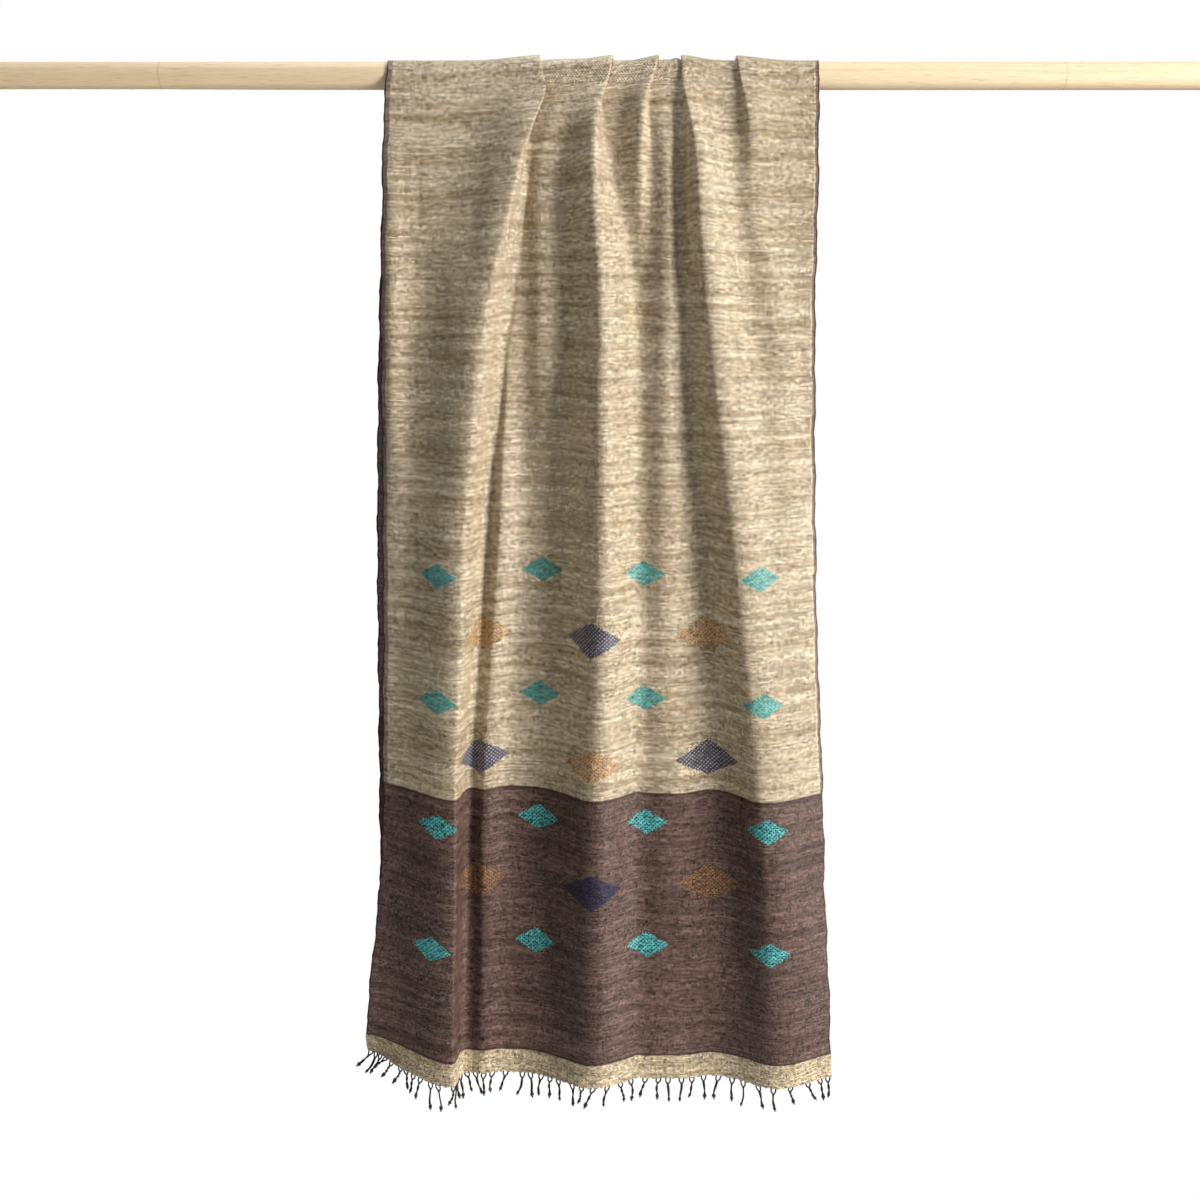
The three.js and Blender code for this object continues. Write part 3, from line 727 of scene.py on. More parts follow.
class Graph:
    """Adds nodes to one material's tree."""

    UV_MAP = "weave"

    def __init__(self, material: bpy.types.Material) -> None:
        """Args:
        material: a new material, which gets an empty tree with its output.
        """
        material.use_nodes = True
        self.tree = material.node_tree
        self.tree.nodes.clear()
        self.output = self.add("ShaderNodeOutputMaterial")

    def add(self, kind: str, **settings: object) -> bpy.types.Node:
        """Args:
            kind: the node's type.
            settings: its plain settings.

        Returns:
            The new node.
        """
        node = self.tree.nodes.new(kind)
        for name, value in settings.items():
            setattr(node, name, value)
        return node

    def feed(self, socket: bpy.types.NodeSocket, value: Union[Number, Paint]) -> None:
        """Links a wire or an output to an input, or sets the input's own value."""
        if isinstance(value, Wire):
            self.tree.links.new(value.socket, socket)
        elif isinstance(value, bpy.types.NodeSocket):
            self.tree.links.new(value, socket)
        elif isinstance(value, tuple):
            socket.default_value = (*value, 1.0)
        else:
            socket.default_value = value

    def math(self, operation: str, *values: Number) -> Wire:
        """Args:
            operation: the sum to do.
            values: its one or two numbers.

        Returns:
            The result.
        """
        node = self.add("ShaderNodeMath", operation=operation)
        for socket, value in zip(node.inputs, values):
            self.feed(socket, value)
        return Wire(self, node.outputs[0])

    def cloth_place(self) -> tuple[Wire, Wire]:
        """Place across and along the warp, in millimetres, from the piece's own map."""
        uv = self.add("ShaderNodeUVMap", uv_map=self.UV_MAP)
        split = self.add("ShaderNodeSeparateXYZ")
        self.feed(split.inputs[0], uv.outputs[0])
        return Wire(self, split.outputs[0]), Wire(self, split.outputs[1])

    def object_place(self) -> tuple[Wire, Wire, Wire]:
        """Place in the object's own coordinates, in metres."""
        coordinates = self.add("ShaderNodeTexCoord")
        split = self.add("ShaderNodeSeparateXYZ")
        self.feed(split.inputs[0], coordinates.outputs["Object"])
        return tuple(Wire(self, split.outputs[i]) for i in range(3))

    def runs(self, u: Wire, v: Wire, kind: "YarnRuns") -> Wire:
        """Args:
            u, v: place on the cloth, in millimetres.
            kind: the runs' size.

        Returns:
            Noise of 0 to 1, drawn out as the runs are.
        """
        return self.noise(u / kind.across, v / kind.along, kind.layer, detail=kind.detail)

    def noise(self, x: Number, y: Number, z: Number = 0.0, detail: float = 1.0) -> Wire:
        """Args:
            x, y, z: place, in the noise's own grains.
            detail: how many finer layers it has.

        Returns:
            Noise of 0 to 1, about 0.5 on average.
        """
        place = self.add("ShaderNodeCombineXYZ")
        for socket, value in zip(place.inputs, (x, y, z)):
            self.feed(socket, value)
        node = self.add("ShaderNodeTexNoise", noise_dimensions="3D")
        self.feed(node.inputs["Vector"], place.outputs[0])
        node.inputs["Scale"].default_value = 1.0
        node.inputs["Detail"].default_value = detail
        return Wire(self, node.outputs[0])

    def speckle(self, x: Number, y: Number, seed: float) -> Wire:
        """Args:
            x, y: place, in cells.
            seed: which set of random numbers is used.

        Returns:
            A random number of -0.5 to 0.5 for each whole cell.
        """
        cell = self.add("ShaderNodeCombineXYZ")
        for socket, value in zip(cell.inputs, (math.floor(x), math.floor(y), seed)):
            self.feed(socket, value)
        node = self.add("ShaderNodeTexWhiteNoise", noise_dimensions="3D")
        self.feed(node.inputs["Vector"], cell.outputs[0])
        return Wire(self, node.outputs["Value"]) - 0.5

    def mix(self, share: Number, first: Paint, second: Paint) -> bpy.types.NodeSocket:
        """Args:
            share: how much of the second colour there is.
            first: the colour beneath.
            second: the colour laid on it.

        Returns:
            The mixed colour.
        """
        node = self.add("ShaderNodeMix", data_type="RGBA")
        self.feed(node.inputs[0], share)
        self.feed(node.inputs[6], first)
        self.feed(node.inputs[7], second)
        return node.outputs[2]

    def shade(self, colour: Paint, brightness: Wire) -> bpy.types.NodeSocket:
        """A colour made lighter or darker by a factor."""
        node = self.add("ShaderNodeVectorMath", operation="SCALE")
        self.feed(node.inputs[0], colour)
        self.feed(node.inputs[3], brightness)
        return node.outputs[0]

    def surface(
        self, colour: Paint, roughness: Number, height: Wire, depth: float, **numbers: Union[float, Colour]
    ) -> None:
        """Args:
        colour: base colour.
        roughness: roughness.
        height: relief of 0 to 1.
        depth: what a height of 1 stands for, in metres.
        numbers: other inputs of the shader, by name, the same all over.
        """
        bump = self.add("ShaderNodeBump")
        bump.inputs["Strength"].default_value = 1.0
        bump.inputs["Distance"].default_value = depth
        self.feed(bump.inputs["Height"], height)
        shader = self.add("ShaderNodeBsdfPrincipled")
        self.feed(shader.inputs["Base Color"], colour)
        self.feed(shader.inputs["Roughness"], roughness)
        self.feed(shader.inputs["Normal"], bump.outputs[0])
        for name, value in numbers.items():
            self.feed(shader.inputs[name.replace("_", " ").title().replace("Ior", "IOR")], value)
        self.tree.links.new(shader.outputs[0], self.output.inputs[0])


# --------------------------------------------------------------------------- finishes


@dataclass(frozen=True)
class ThreadCount:
    """Pitches of the plain weave, in millimetres."""

    warp: float = 1.4
    weft: float = 1.15


@dataclass(frozen=True)
class YarnRuns:
    """Light and dark runs of yarn: their size in millimetres, and how strong they are.

    ``layer`` picks the slice of noise that they are read from, and ``detail`` is how many
    finer layers lie on it.
    """

    across: float
    along: float
    layer: float
    detail: float
    strength: float


@dataclass(frozen=True)
class ThreadSpots:
    """Light and dark spots: how many ends and picks each covers, and how strong they are.

    ``seed`` picks their random numbers.
    """

    ends: float
    picks: float
    seed: float
    strength: float


WEFT_RUNS = (
    YarnRuns(across=9.0, along=1.0, layer=0.0, detail=1.0, strength=0.9),
    YarnRuns(across=60.0, along=1.5, layer=3.0, detail=1.0, strength=0.8),
    YarnRuns(across=130.0, along=7.0, layer=7.0, detail=2.0, strength=1.5),
)
DARK_PICKS = YarnRuns(across=38.0, along=0.9, layer=13.0, detail=1.0, strength=0.55)
SINGLE_ENDS = YarnRuns(across=1.5, along=45.0, layer=11.0, detail=1.0, strength=0.42)
WIDE_PATCHES = YarnRuns(across=70.0, along=50.0, layer=29.0, detail=2.0, strength=0.2)
THREAD_SPOTS = (
    ThreadSpots(ends=1.0, picks=1.0, seed=17.0, strength=0.8),
    ThreadSpots(ends=4.0, picks=1.0, seed=23.0, strength=0.6),
    ThreadSpots(ends=1.0, picks=3.0, seed=37.0, strength=0.4),
)


@dataclass(frozen=True)
class FloatDye:
    """A colour that the woven lozenges come in, and the dots of ground between its floats."""

    on_field: Colour
    dots_on_field: Colour
    on_band: Colour
    dots_on_band: Colour


class Dye(Enum):
    """The three dyes of the lozenges."""

    TURQUOISE = FloatDye(
        linear(84, 164, 156), linear(96, 122, 108), linear(80, 168, 168), linear(18, 50, 54)
    )
    INDIGO = FloatDye(linear(54, 58, 90), linear(168, 158, 142), linear(48, 46, 72), linear(36, 28, 30))
    OCHRE = FloatDye(linear(188, 152, 110), linear(146, 116, 86), linear(128, 92, 64), linear(66, 46, 36))


@dataclass(frozen=True)
class LozengeLayout:
    """A half-drop repeat of woven lozenges, in millimetres.

    Rows are counted along the warp from ``first_row``, which is measured from the line
    where the band starts. Even rows have small lozenges and odd rows have large ones.
    """

    across: float = 120.0
    along: float = 59.0
    first_row: float = -209.0
    rows: int = 7
    small: tuple[float, float] = (21.0, 12.0)
    large: tuple[float, float] = (32.0, 17.0)
    stair: float = 1.44
    dot_across: float = 4.1
    dot_along: float = 1.8
    dot_shift: float = 0.47
    dot_edge: tuple[float, float] = (0.1, 0.8)
    dot_line_edge: tuple[float, float] = (0.2, 0.5)
    float_height: float = 0.95
    dot_sink: float = 0.75
    cover: float = 0.94


@dataclass(frozen=True)
class Selvedge:
    """Coloured warp ends along the two long edges, in millimetres from the edge.

    The natural cloth also has a stripe beside each dark edge and bright ends beside the
    right one. The near-black edge is partly the dark warp ends and partly painted shadow
    of the turned edge. The strengths are shares of the colour laid on.
    """

    # width of the near-black edge: dark warp ends with painted edge shadow
    dark: float = 1.4
    left_stripe: float = 5.4
    right_stripe: float = 3.4
    bright_from: float = 0.4
    bright_to: float = 1.6
    softness: float = 0.5
    left_softness: float = 0.6
    bright_softness: float = 0.3
    dark_edge_and_shadow_strength: float = 0.95
    stripe_strength: float = 0.78
    bright_strength: float = 0.5
    flecks: YarnRuns = YarnRuns(across=1.2, along=2.4, layer=31.0, detail=1.0, strength=1.0)
    fleck_edge: tuple[float, float] = (0.55, 0.65)
    # near-black: the dark warp ends darkened further as painted shadow of the turned edge
    dark_edge_and_shadow_colour: Colour = linear(30, 18, 18)
    stripe_colour: Colour = linear(110, 88, 82)
    fleck_colour: Colour = linear(170, 100, 52)


class Ground(Enum):
    """Which yarns a stretch of cloth is woven from."""

    NATURAL = "natural_silk"
    BROWN = "brown_silk"
    PALE = "pale_silk"


@dataclass(frozen=True)
class SilkFinish:
    """A plain-woven wild silk with a fine warp and a thick, slubby weft."""

    ground: Ground
    warp: Colour
    weft_light: Colour
    weft_dark: Colour
    warp_share: float
    slub: float
    grain: float
    roughness: float
    sheen: float
    threads: ThreadCount = ThreadCount()
    lozenges: LozengeLayout = LozengeLayout()
    selvedge: Selvedge = Selvedge()

    RELIEF_DEPTH = 0.22 * MM
    DARK_PICK_EDGE = (0.64, 0.74)
    CROSSING_SOFTNESS = 0.35
    WARP_HEIGHT = 0.7
    WEFT_HEIGHT = (0.45, 0.55)
    DARKEST = 0.12
    LINE_COLOUR = linear(50, 24, 22)
    LINE_WIDTH = 0.9
    LINE_EDGE = (0.6, 1.4)
    LINE_STRENGTH = 0.85
    BAND_LENGTH = ALONG.front_end - ALONG.front_band

    def make(self) -> bpy.types.Material:
        """Returns:
        The finished material.
        """
        material = bpy.data.materials.new(self.ground.value)
        graph = Graph(material)
        u, v = graph.cloth_place()
        from_band = (v - ALONG.front_band).most(ALONG.back_band - v)
        streaks = self._streaks(graph, u, v)
        over, relief = self._weave(u, v, streaks)
        weft = graph.mix(streaks, self.weft_dark, self.weft_light)
        colour = graph.mix(over, weft, self.warp)
        if self.ground is not Ground.PALE:
            colour, relief = self._lozenges(graph, u, v, from_band, colour, relief)
        colour = self._lines(graph, from_band, colour)
        colour = self._selvedges(graph, u, v, colour)
        brightness = self._unevenness(graph, u, v)
        graph.surface(
            graph.shade(colour, brightness),
            self.roughness,
            relief,
            self.RELIEF_DEPTH,
            sheen_weight=self.sheen,
            sheen_roughness=0.4,
            sheen_tint=self.weft_light,
            specular_ior_level=0.35,
        )
        return material

    def _streaks(self, graph: Graph, u: Wire, v: Wire) -> Wire:
        """Light and dark runs of the weft, each along its own picks."""
        total: Number = 0.0
        for kind in WEFT_RUNS:
            total = total + (graph.runs(u, v, kind) - 0.5) * kind.strength
        dark = graph.runs(u, v, DARK_PICKS).ramp(*self.DARK_PICK_EDGE)
        total = total - dark * DARK_PICKS.strength
        return (0.5 + total * self.slub).most(0.0).least(1.0)

    def _weave(self, u: Wire, v: Wire, streaks: Wire) -> tuple[Wire, Wire]:
        """Where the warp lies over the weft, and the weave's relief."""
        crossing = u.wave(2 * self.threads.warp) * v.wave(2 * self.threads.weft)
        limit = 1.0 - 2.0 * self.warp_share
        over = crossing.ramp(limit - self.CROSSING_SOFTNESS, limit + self.CROSSING_SOFTNESS)
        warp_round = 0.5 + 0.5 * u.wave(self.threads.warp)
        weft_round = 0.5 + 0.5 * v.wave(self.threads.weft)
        thin, thicker = self.WEFT_HEIGHT
        weft_height = weft_round * (thin + thicker * streaks)
        relief = over * warp_round * self.WARP_HEIGHT + (1.0 - over) * weft_height
        return over, relief

    def _unevenness(self, graph: Graph, u: Wire, v: Wire) -> Wire:
        """Brightness: of single ends, of spots where threads cross, and of wide patches."""
        ends = (graph.runs(u, v, SINGLE_ENDS) - 0.5) * SINGLE_ENDS.strength
        patches = (graph.runs(u, v, WIDE_PATCHES) - 0.5) * WIDE_PATCHES.strength
        speckles: Number = 0.0
        for spots in THREAD_SPOTS:
            width, height = spots.ends * self.threads.warp, spots.picks * self.threads.weft
            speckles = speckles + spots.strength * graph.speckle(u / width, v / height, spots.seed)
        return (1.0 + ends + speckles * self.grain + patches).most(self.DARKEST)

    def _lozenges(
        self, graph: Graph, u: Wire, v: Wire, from_band: Wire, colour: Paint, relief: Wire
    ) -> tuple[Paint, Wire]:
        """Lays the woven lozenges on the ground, with their dotted floats."""
        plan = self.lozenges
        place = (from_band - plan.first_row) / plan.along
        row = math.floor(place + 0.5)
        odd = row.odd()
        off_row = abs(place - row) * plan.along
        stairs = (math.floor(off_row / plan.stair) + 0.5) * plan.stair
        shifted = (u - plan.across / 2 * (1.0 - odd)) / plan.across
        column = math.floor(shifted + 0.5)
        off_column = abs(shifted - column) * plan.across
        half_width = plan.small[0] + (plan.large[0] - plan.small[0]) * odd
        half_height = plan.small[1] + (plan.large[1] - plan.small[1]) * odd
        inside = (half_width * (1.0 - stairs / half_height)).over(off_column)
        inside = inside * row.over(-0.5) * (plan.rows - 0.5 - row).over(0.0)
        clear = (u - plan.across / 2).over(0.0) * (CLOTH.width - plan.across / 2 - u).over(0.0)
        inside = inside * (1.0 - odd * (1.0 - clear))

        line = math.floor(v / plan.dot_along)
        slant = (u / plan.dot_across + line * plan.dot_shift).wave(1.0)
        mid_line = abs(v / plan.dot_along - line - 0.5)
        dots = slant.ramp(*plan.dot_edge) * (1.0 - mid_line.ramp(*plan.dot_line_edge))
        ochre = (column + math.floor(row / 2.0)).odd().over(0.5)

        dyes = [dye.value for dye in (Dye.TURQUOISE, Dye.INDIGO, Dye.OCHRE)]
        if self.ground is Ground.BROWN:
            floats, grounds = [d.on_band for d in dyes], [d.dots_on_band for d in dyes]
        else:
            floats, grounds = [d.on_field for d in dyes], [d.dots_on_field for d in dyes]
        thread = graph.mix(odd, floats[0], graph.mix(ochre, floats[1], floats[2]))
        beneath = graph.mix(odd, grounds[0], graph.mix(ochre, grounds[1], grounds[2]))
        figure = graph.mix(dots, thread, beneath)
        float_relief = plan.float_height - plan.dot_sink * dots
        relief = relief * (1.0 - inside) + inside * float_relief
        return graph.mix(inside * plan.cover, colour, figure), relief

    def _lines(self, graph: Graph, from_band: Wire, colour: Paint) -> Paint:
        """Darkens the first and last picks of the band."""
        inner, outer = (share * self.LINE_WIDTH for share in self.LINE_EDGE)
        first = abs(from_band).ramp(inner, outer)
        last = abs(from_band - self.BAND_LENGTH).ramp(inner, outer)
        return graph.mix((1.0 - first * last) * self.LINE_STRENGTH, colour, self.LINE_COLOUR)

    def _selvedges(self, graph: Graph, u: Wire, v: Wire, colour: Paint) -> Paint:
        """Lays the coloured ends along both edges, with painted shadow in the near-black edge."""
        edge = self.selvedge
        right = CLOTH.width - u
        nearest = u.least(right)
        soft = edge.softness
        # near-black edge: dark warp ends, with painted shadow of the turned edge on top
        dark = 1.0 - nearest.ramp(edge.dark - soft, edge.dark + soft)
        if self.ground is Ground.NATURAL:
            left_soft = edge.left_softness
            left_stripe = 1.0 - u.ramp(edge.left_stripe - left_soft, edge.left_stripe + left_soft)
            right_stripe = 1.0 - right.ramp(edge.right_stripe - soft, edge.right_stripe + soft)
            stripes = left_stripe.most(right_stripe) * edge.stripe_strength
            colour = graph.mix(stripes, colour, edge.stripe_colour)
            low, high = edge.right_stripe + edge.bright_from, edge.right_stripe + edge.bright_to
            bright = right.band(low, high, edge.bright_softness)
            colour = graph.mix(bright * edge.bright_strength, colour, self.weft_light)
        if self.ground is not Ground.PALE:
            flecks = graph.runs(u, v, edge.flecks).ramp(*edge.fleck_edge) * (u / CLOTH.width)
            thread = graph.mix(flecks, edge.dark_edge_and_shadow_colour, edge.fleck_colour)
            colour = graph.mix(dark * edge.dark_edge_and_shadow_strength, colour, thread)
        return colour


@dataclass(frozen=True)
class YarnFinish:
    """Dark brown twisted silk with a few golden fibres."""

    name: str = "fringe_yarn"
    dark: Colour = linear(22, 14, 12)
    brown: Colour = linear(50, 33, 26)
    golden: Colour = linear(128, 86, 48)
    brown_strength: float = 0.7
    golden_strength: float = 0.75
    roughness: float = 0.62
    relief: float = 0.12 * MM

    def make(self) -> bpy.types.Material:
        """Returns:
        The finished material.
        """
        material = bpy.data.materials.new(self.name)
        graph = Graph(material)
        x, y, z = graph.object_place()
        tone = graph.noise(x * 120.0, y * 120.0, z * 60.0, detail=1.0)
        fibres = graph.noise(x * 2600.0, y * 2600.0, z * 700.0, detail=1.0)
        gold = graph.noise(x * 210.0, y * 210.0, z * 90.0 + 5.0).ramp(0.6, 0.72)
        browned = tone.ramp(0.35, 0.7) * self.brown_strength
        gilded = gold * fibres.ramp(0.45, 0.6) * self.golden_strength
        colour = graph.mix(browned, self.dark, self.brown)
        colour = graph.mix(gilded, colour, self.golden)
        graph.surface(
            colour, self.roughness, fibres, self.relief, sheen_weight=0.25, specular_ior_level=0.3
        )
        return material


@dataclass(frozen=True)
class WoodFinish:
    """Pale, sanded wood with its grain along the rod, and two glued joints, in metres."""

    name: str = "rod_wood"
    pale: Colour = linear(250, 230, 194)
    grain: Colour = linear(232, 202, 160)
    pore: Colour = linear(196, 158, 118)
    roughness: float = 0.55
    ring_pitch: float = 0.0042
    relief: float = 0.08 * MM
    joints: tuple[float, ...] = (-0.423, 0.443)
    joint_width: float = 0.0007
    joint_strength: float = 0.35
    pore_strength: float = 0.35

    def make(self) -> bpy.types.Material:
        """Returns:
        The finished material.
        """
        material = bpy.data.materials.new(self.name)
        graph = Graph(material)
        x, y, z = graph.object_place()
        bend = graph.noise(x * 3.0, y * 30.0, z * 30.0, detail=1.0)
        rings = (y * 1.0 + z * 0.6 + bend * 0.006).wave(self.ring_pitch)
        streaks = graph.noise(x * 9.0, y * 420.0, z * 420.0, detail=2.0)
        pores = graph.noise(x * 60.0, y * 1500.0, z * 1500.0, 0.0).ramp(0.62, 0.72)
        share = (0.5 + 0.5 * rings) * 0.35 + streaks * 0.5
        colour = graph.mix(share, self.pale, self.grain)
        colour = graph.mix(pores * self.pore_strength, colour, self.pore)
        for joint in self.joints:
            near = 1.0 - abs(x - joint).ramp(self.joint_width * 0.5, self.joint_width * 1.5)
            colour = graph.mix(near * self.joint_strength, colour, self.pore)
        height = streaks * 0.6 - pores * 0.4
        graph.surface(colour, self.roughness, height, self.relief, specular_ior_level=0.4)
        return material


# --------------------------------------------------------------------------- sheet meshes


@dataclass
class Sheet:
    """A closed thin wall over a grid of points, in millimetres.

    ``middle`` and ``outward`` hold the points and the normals of the cloth's middle, and
    ``weave`` holds each point's place across and along the warp.
    """

    name: str
    middle: np.ndarray
    outward: np.ndarray
    weave: np.ndarray
    thickness: float = CLOTH.thickness
    own_bake_map: bool = True

    GAP = 8.0
    SKIRT = 2.0
    FILLED = 0.98

    def build(self, material: bpy.types.Material) -> bpy.types.Object:
        """Args:
            material: its finish.

        Returns:
            The finished object, at the origin.
        """
        rows, columns = self.middle.shape[:2]
        count = rows * columns
        offset = self.outward * (self.thickness / 2)
        faces_apart = (self.middle + offset, self.middle - offset)
        points = np.concatenate([side.reshape(-1, 3) for side in faces_apart])
        index = np.arange(count).reshape(rows, columns)
        outer = np.stack([index[:-1, :-1], index[1:, :-1], index[1:, 1:], index[:-1, 1:]], axis=-1)
        outer = outer.reshape(-1, 4)
        rim = np.concatenate([index[0, :-1], index[:-1, -1], index[-1, :0:-1], index[:0:-1, 0]])
        after = np.roll(rim, -1)
        sides = np.stack([rim, after, after + count, rim + count], axis=-1)
        faces = np.concatenate([outer, outer[:, ::-1] + count, sides])
        mesh = bpy.data.meshes.new(self.name)
        mesh.from_pydata((points * MM).tolist(), [], faces.tolist())
        mesh.polygons.foreach_set("use_smooth", np.ones(len(faces), bool))
        self._sharpen_rim(mesh, rim, after, count)
        corners = faces.reshape(-1)
        weave = self.weave.reshape(-1, 2)
        self._write_map(mesh, Graph.UV_MAP, weave[corners % count])
        if self.own_bake_map:
            self._write_map(mesh, "OFBake", self._bake_places(outer, sides))
        mesh.materials.append(material)
        mesh.update()
        thing = bpy.data.objects.new(self.name, mesh)
        bpy.context.scene.collection.objects.link(thing)
        return thing

    @staticmethod
    def _sharpen_rim(mesh: bpy.types.Mesh, rim: np.ndarray, after: np.ndarray, count: int) -> None:
        """Keeps the shading of the two faces apart from the rim's."""
        pairs = {tuple(sorted(pair)) for pair in zip(rim.tolist(), after.tolist())}
        pairs |= {(a + count, b + count) for a, b in pairs}
        ends = np.zeros(len(mesh.edges) * 2, int)
        mesh.edges.foreach_get("vertices", ends)
        ends = np.sort(ends.reshape(-1, 2), axis=1)
        sharp = [tuple(pair) in pairs for pair in ends.tolist()]
        mesh.edges.foreach_set("use_edge_sharp", sharp)

    @staticmethod
    def _write_map(mesh: bpy.types.Mesh, name: str, places: np.ndarray) -> None:
        """Stores one place for each face corner."""
        layer = mesh.uv_layers.new(name=name)
        layer.data.foreach_set("uv", places.astype(np.float32).reshape(-1))

    def _bake_places(self, outer: np.ndarray, sides: np.ndarray) -> np.ndarray:
        """A map with the two faces beside each other and the rim as a skirt round the first."""
        weave = self.weave.reshape(-1, 2)
        flat = weave - weave.min(axis=0)
        width, height = flat.max(axis=0)
        margin = self.SKIRT + 1.0
        beside = height > 0.6 * width
        step = np.array([width + self.GAP, 0.0]) if beside else np.array([0.0, height + self.GAP])
        span = max(width + step[0], height + step[1]) + 2 * margin
        first = flat + margin
        centre = first.mean(axis=0)
        corners = [first[outer.reshape(-1)], first[outer[:, ::-1].reshape(-1)] + step]
        skirt = np.empty((len(sides), 4, 2))
        skirt[:, :2] = first[sides[:, :2]]
        away = first[sides[:, :2]] - centre
        reach = np.abs(away) >= np.abs(first[[0, -1]] - centre).max(axis=0) - 1e-6
        moved = first[sides[:, :2]] + np.sign(away) * reach * self.SKIRT
        skirt[:, 2] = moved[:, 1]
        skirt[:, 3] = moved[:, 0]
        corners.append(skirt.reshape(-1, 2))
        return np.concatenate(corners) * (self.FILLED / span)


def outward_normals(points: np.ndarray) -> np.ndarray:
    """Args:
        points: a grid of points, rows along the warp.

    Returns:
        Unit normals that point away from the rod's side of the cloth.
    """
    along = np.gradient(points, axis=0)
    across = np.gradient(points, axis=1)
    normal = np.cross(along, across)
    return normal / np.linalg.norm(normal, axis=-1, keepdims=True)


# --------------------------------------------------------------------------- the scarf


@dataclass(frozen=True)
class Stretch:
    """One woven stretch of the scarf: what it stands for, and where it lies along the warp."""

    name: str
    nodes: tuple[str, ...]
    ground: Ground
    start: float
    end: float
    held: str = "hung"
    scalloped: Optional[Panel] = None


STRETCHES = (
    Stretch(
        "back_end_strip",
        ("back_end",),
        Ground.PALE,
        ALONG.back_hem,
        ALONG.back_end,
        scalloped=Panel.BACK,
    ),
    Stretch("back_brown_band", ("back_border",), Ground.BROWN, ALONG.back_end, ALONG.back_band),
    Stretch("back_natural_cloth", ("back_field",), Ground.NATURAL, ALONG.back_band, -CLOTH.quarter),
    Stretch(
        "front_natural_cloth",
        ("rod_turn", "front_field"),
        Ground.NATURAL,
        -CLOTH.quarter,
        ALONG.front_band,
        held="draped",
    ),
    Stretch("front_brown_band", ("front_border",), Ground.BROWN, ALONG.front_band, ALONG.front_end),
    Stretch(
        "front_end_strip",
        ("front_end",),
        Ground.PALE,
        ALONG.front_end,
        ALONG.front_hem,
        scalloped=Panel.FRONT,
    ),
)


@dataclass(frozen=True)
class Hem:
    """The scalloped edge where the weft ends and the warp ends are drawn together."""

    fall: float = 1.0
    scallop: float = 1.5
    pitch: float = 6.2
    wander: float = 0.9
    wander_over: float = 23.0

    def place(self, us: np.ndarray, panel: Panel) -> np.ndarray:
        """Args:
            us: places across the warp.
            panel: the panel whose hem it is.

        Returns:
            The length along the warp at which the cloth ends there.
        """
        phase = math.pi * us / self.pitch + self.wander * np.sin(us / self.wander_over)
        reach = self.fall + self.scallop * np.abs(np.sin(phase))
        hem = ALONG.front_hem if panel is Panel.FRONT else ALONG.back_hem
        return hem + panel.value * reach


@dataclass
class Scarf:
    """The woven length: six stretches of cloth in three grounds."""

    columns: int = 280
    near_pitch: float = 2.4
    far_pitch: float = 5.2
    far_from: float = 150.0
    row_samples: int = 2001
    hem_rows: int = 9
    hem_crowding: float = 0.8
    hem: Hem = Hem()
    drape: Drape = field(default_factory=Drape)
    finishes: dict[Ground, bpy.types.Material] = field(default_factory=dict)

    def build(self, rod: bpy.types.Object) -> None:
        """Args:
        rod: what the cloth lies on; not used.
        """
        self.finishes = {finish.ground: finish.make() for finish in SILKS}
        for stretch in STRETCHES:
            sheet = self._hemmed(stretch) if stretch.scalloped else self._plain(stretch)
            thing = sheet.build(self.finishes[stretch.ground])
            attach(thing, "root")
            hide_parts(*stretch.nodes)
            flat = (CLOTH.width * MM, abs(stretch.end - stretch.start) * MM)
            LOG.info("%s: %d faces", thing.name, len(thing.data.polygons))

    def _rows(self, stretch: Stretch) -> np.ndarray:
        """Lengths along the warp of a stretch's rows, closer near the rod."""
        fine = np.linspace(stretch.start, stretch.end, self.row_samples)
        pitch = self.near_pitch + (self.far_pitch - self.near_pitch) * smooth(np.abs(fine) / self.far_from)
        rows = np.concatenate([[0.0], np.cumsum(np.diff(fine) / (0.5 * (pitch[1:] + pitch[:-1])))])
        count = max(3, math.ceil(rows[-1]))
        return np.interp(np.linspace(0.0, rows[-1], count + 1), rows, fine)

    def _plain(self, stretch: Stretch) -> Sheet:
        """A stretch with straight ends, whose normals are read from a row beyond each end."""
        vs = self._rows(stretch)
        beyond = [2 * vs[0] - vs[1], *vs, 2 * vs[-1] - vs[-2]]
        us = [self.drape.section(v).columns(self.columns) for v in beyond]
        points = np.stack([self.drape.row(u, v) for u, v in zip(us, beyond)])
        weave = np.stack([np.stack([u, np.full_like(u, v)], axis=-1) for u, v in zip(us, beyond)])
        return Sheet(stretch.name, points[1:-1], outward_normals(points)[1:-1], weave[1:-1])

    def _hemmed(self, stretch: Stretch) -> Sheet:
        """A stretch whose free end is the scalloped hem."""
        panel = stretch.scalloped
        inner = stretch.start if panel is Panel.FRONT else stretch.end
        us = self.drape.section(inner).columns(self.columns * 2)
        hem = self.hem.place(us, panel)
        shares = np.linspace(0.0, 1.0, self.hem_rows) ** self.hem_crowding
        places = [inner + (hem - inner) * share for share in shares]
        if panel is Panel.BACK:
            places = places[::-1]
        points = np.stack([self.drape.places(us, vs) for vs in places])
        weave = np.stack([np.stack([us, vs], axis=-1) for vs in places])
        return Sheet(stretch.name, points, outward_normals(points), weave, own_bake_map=False)


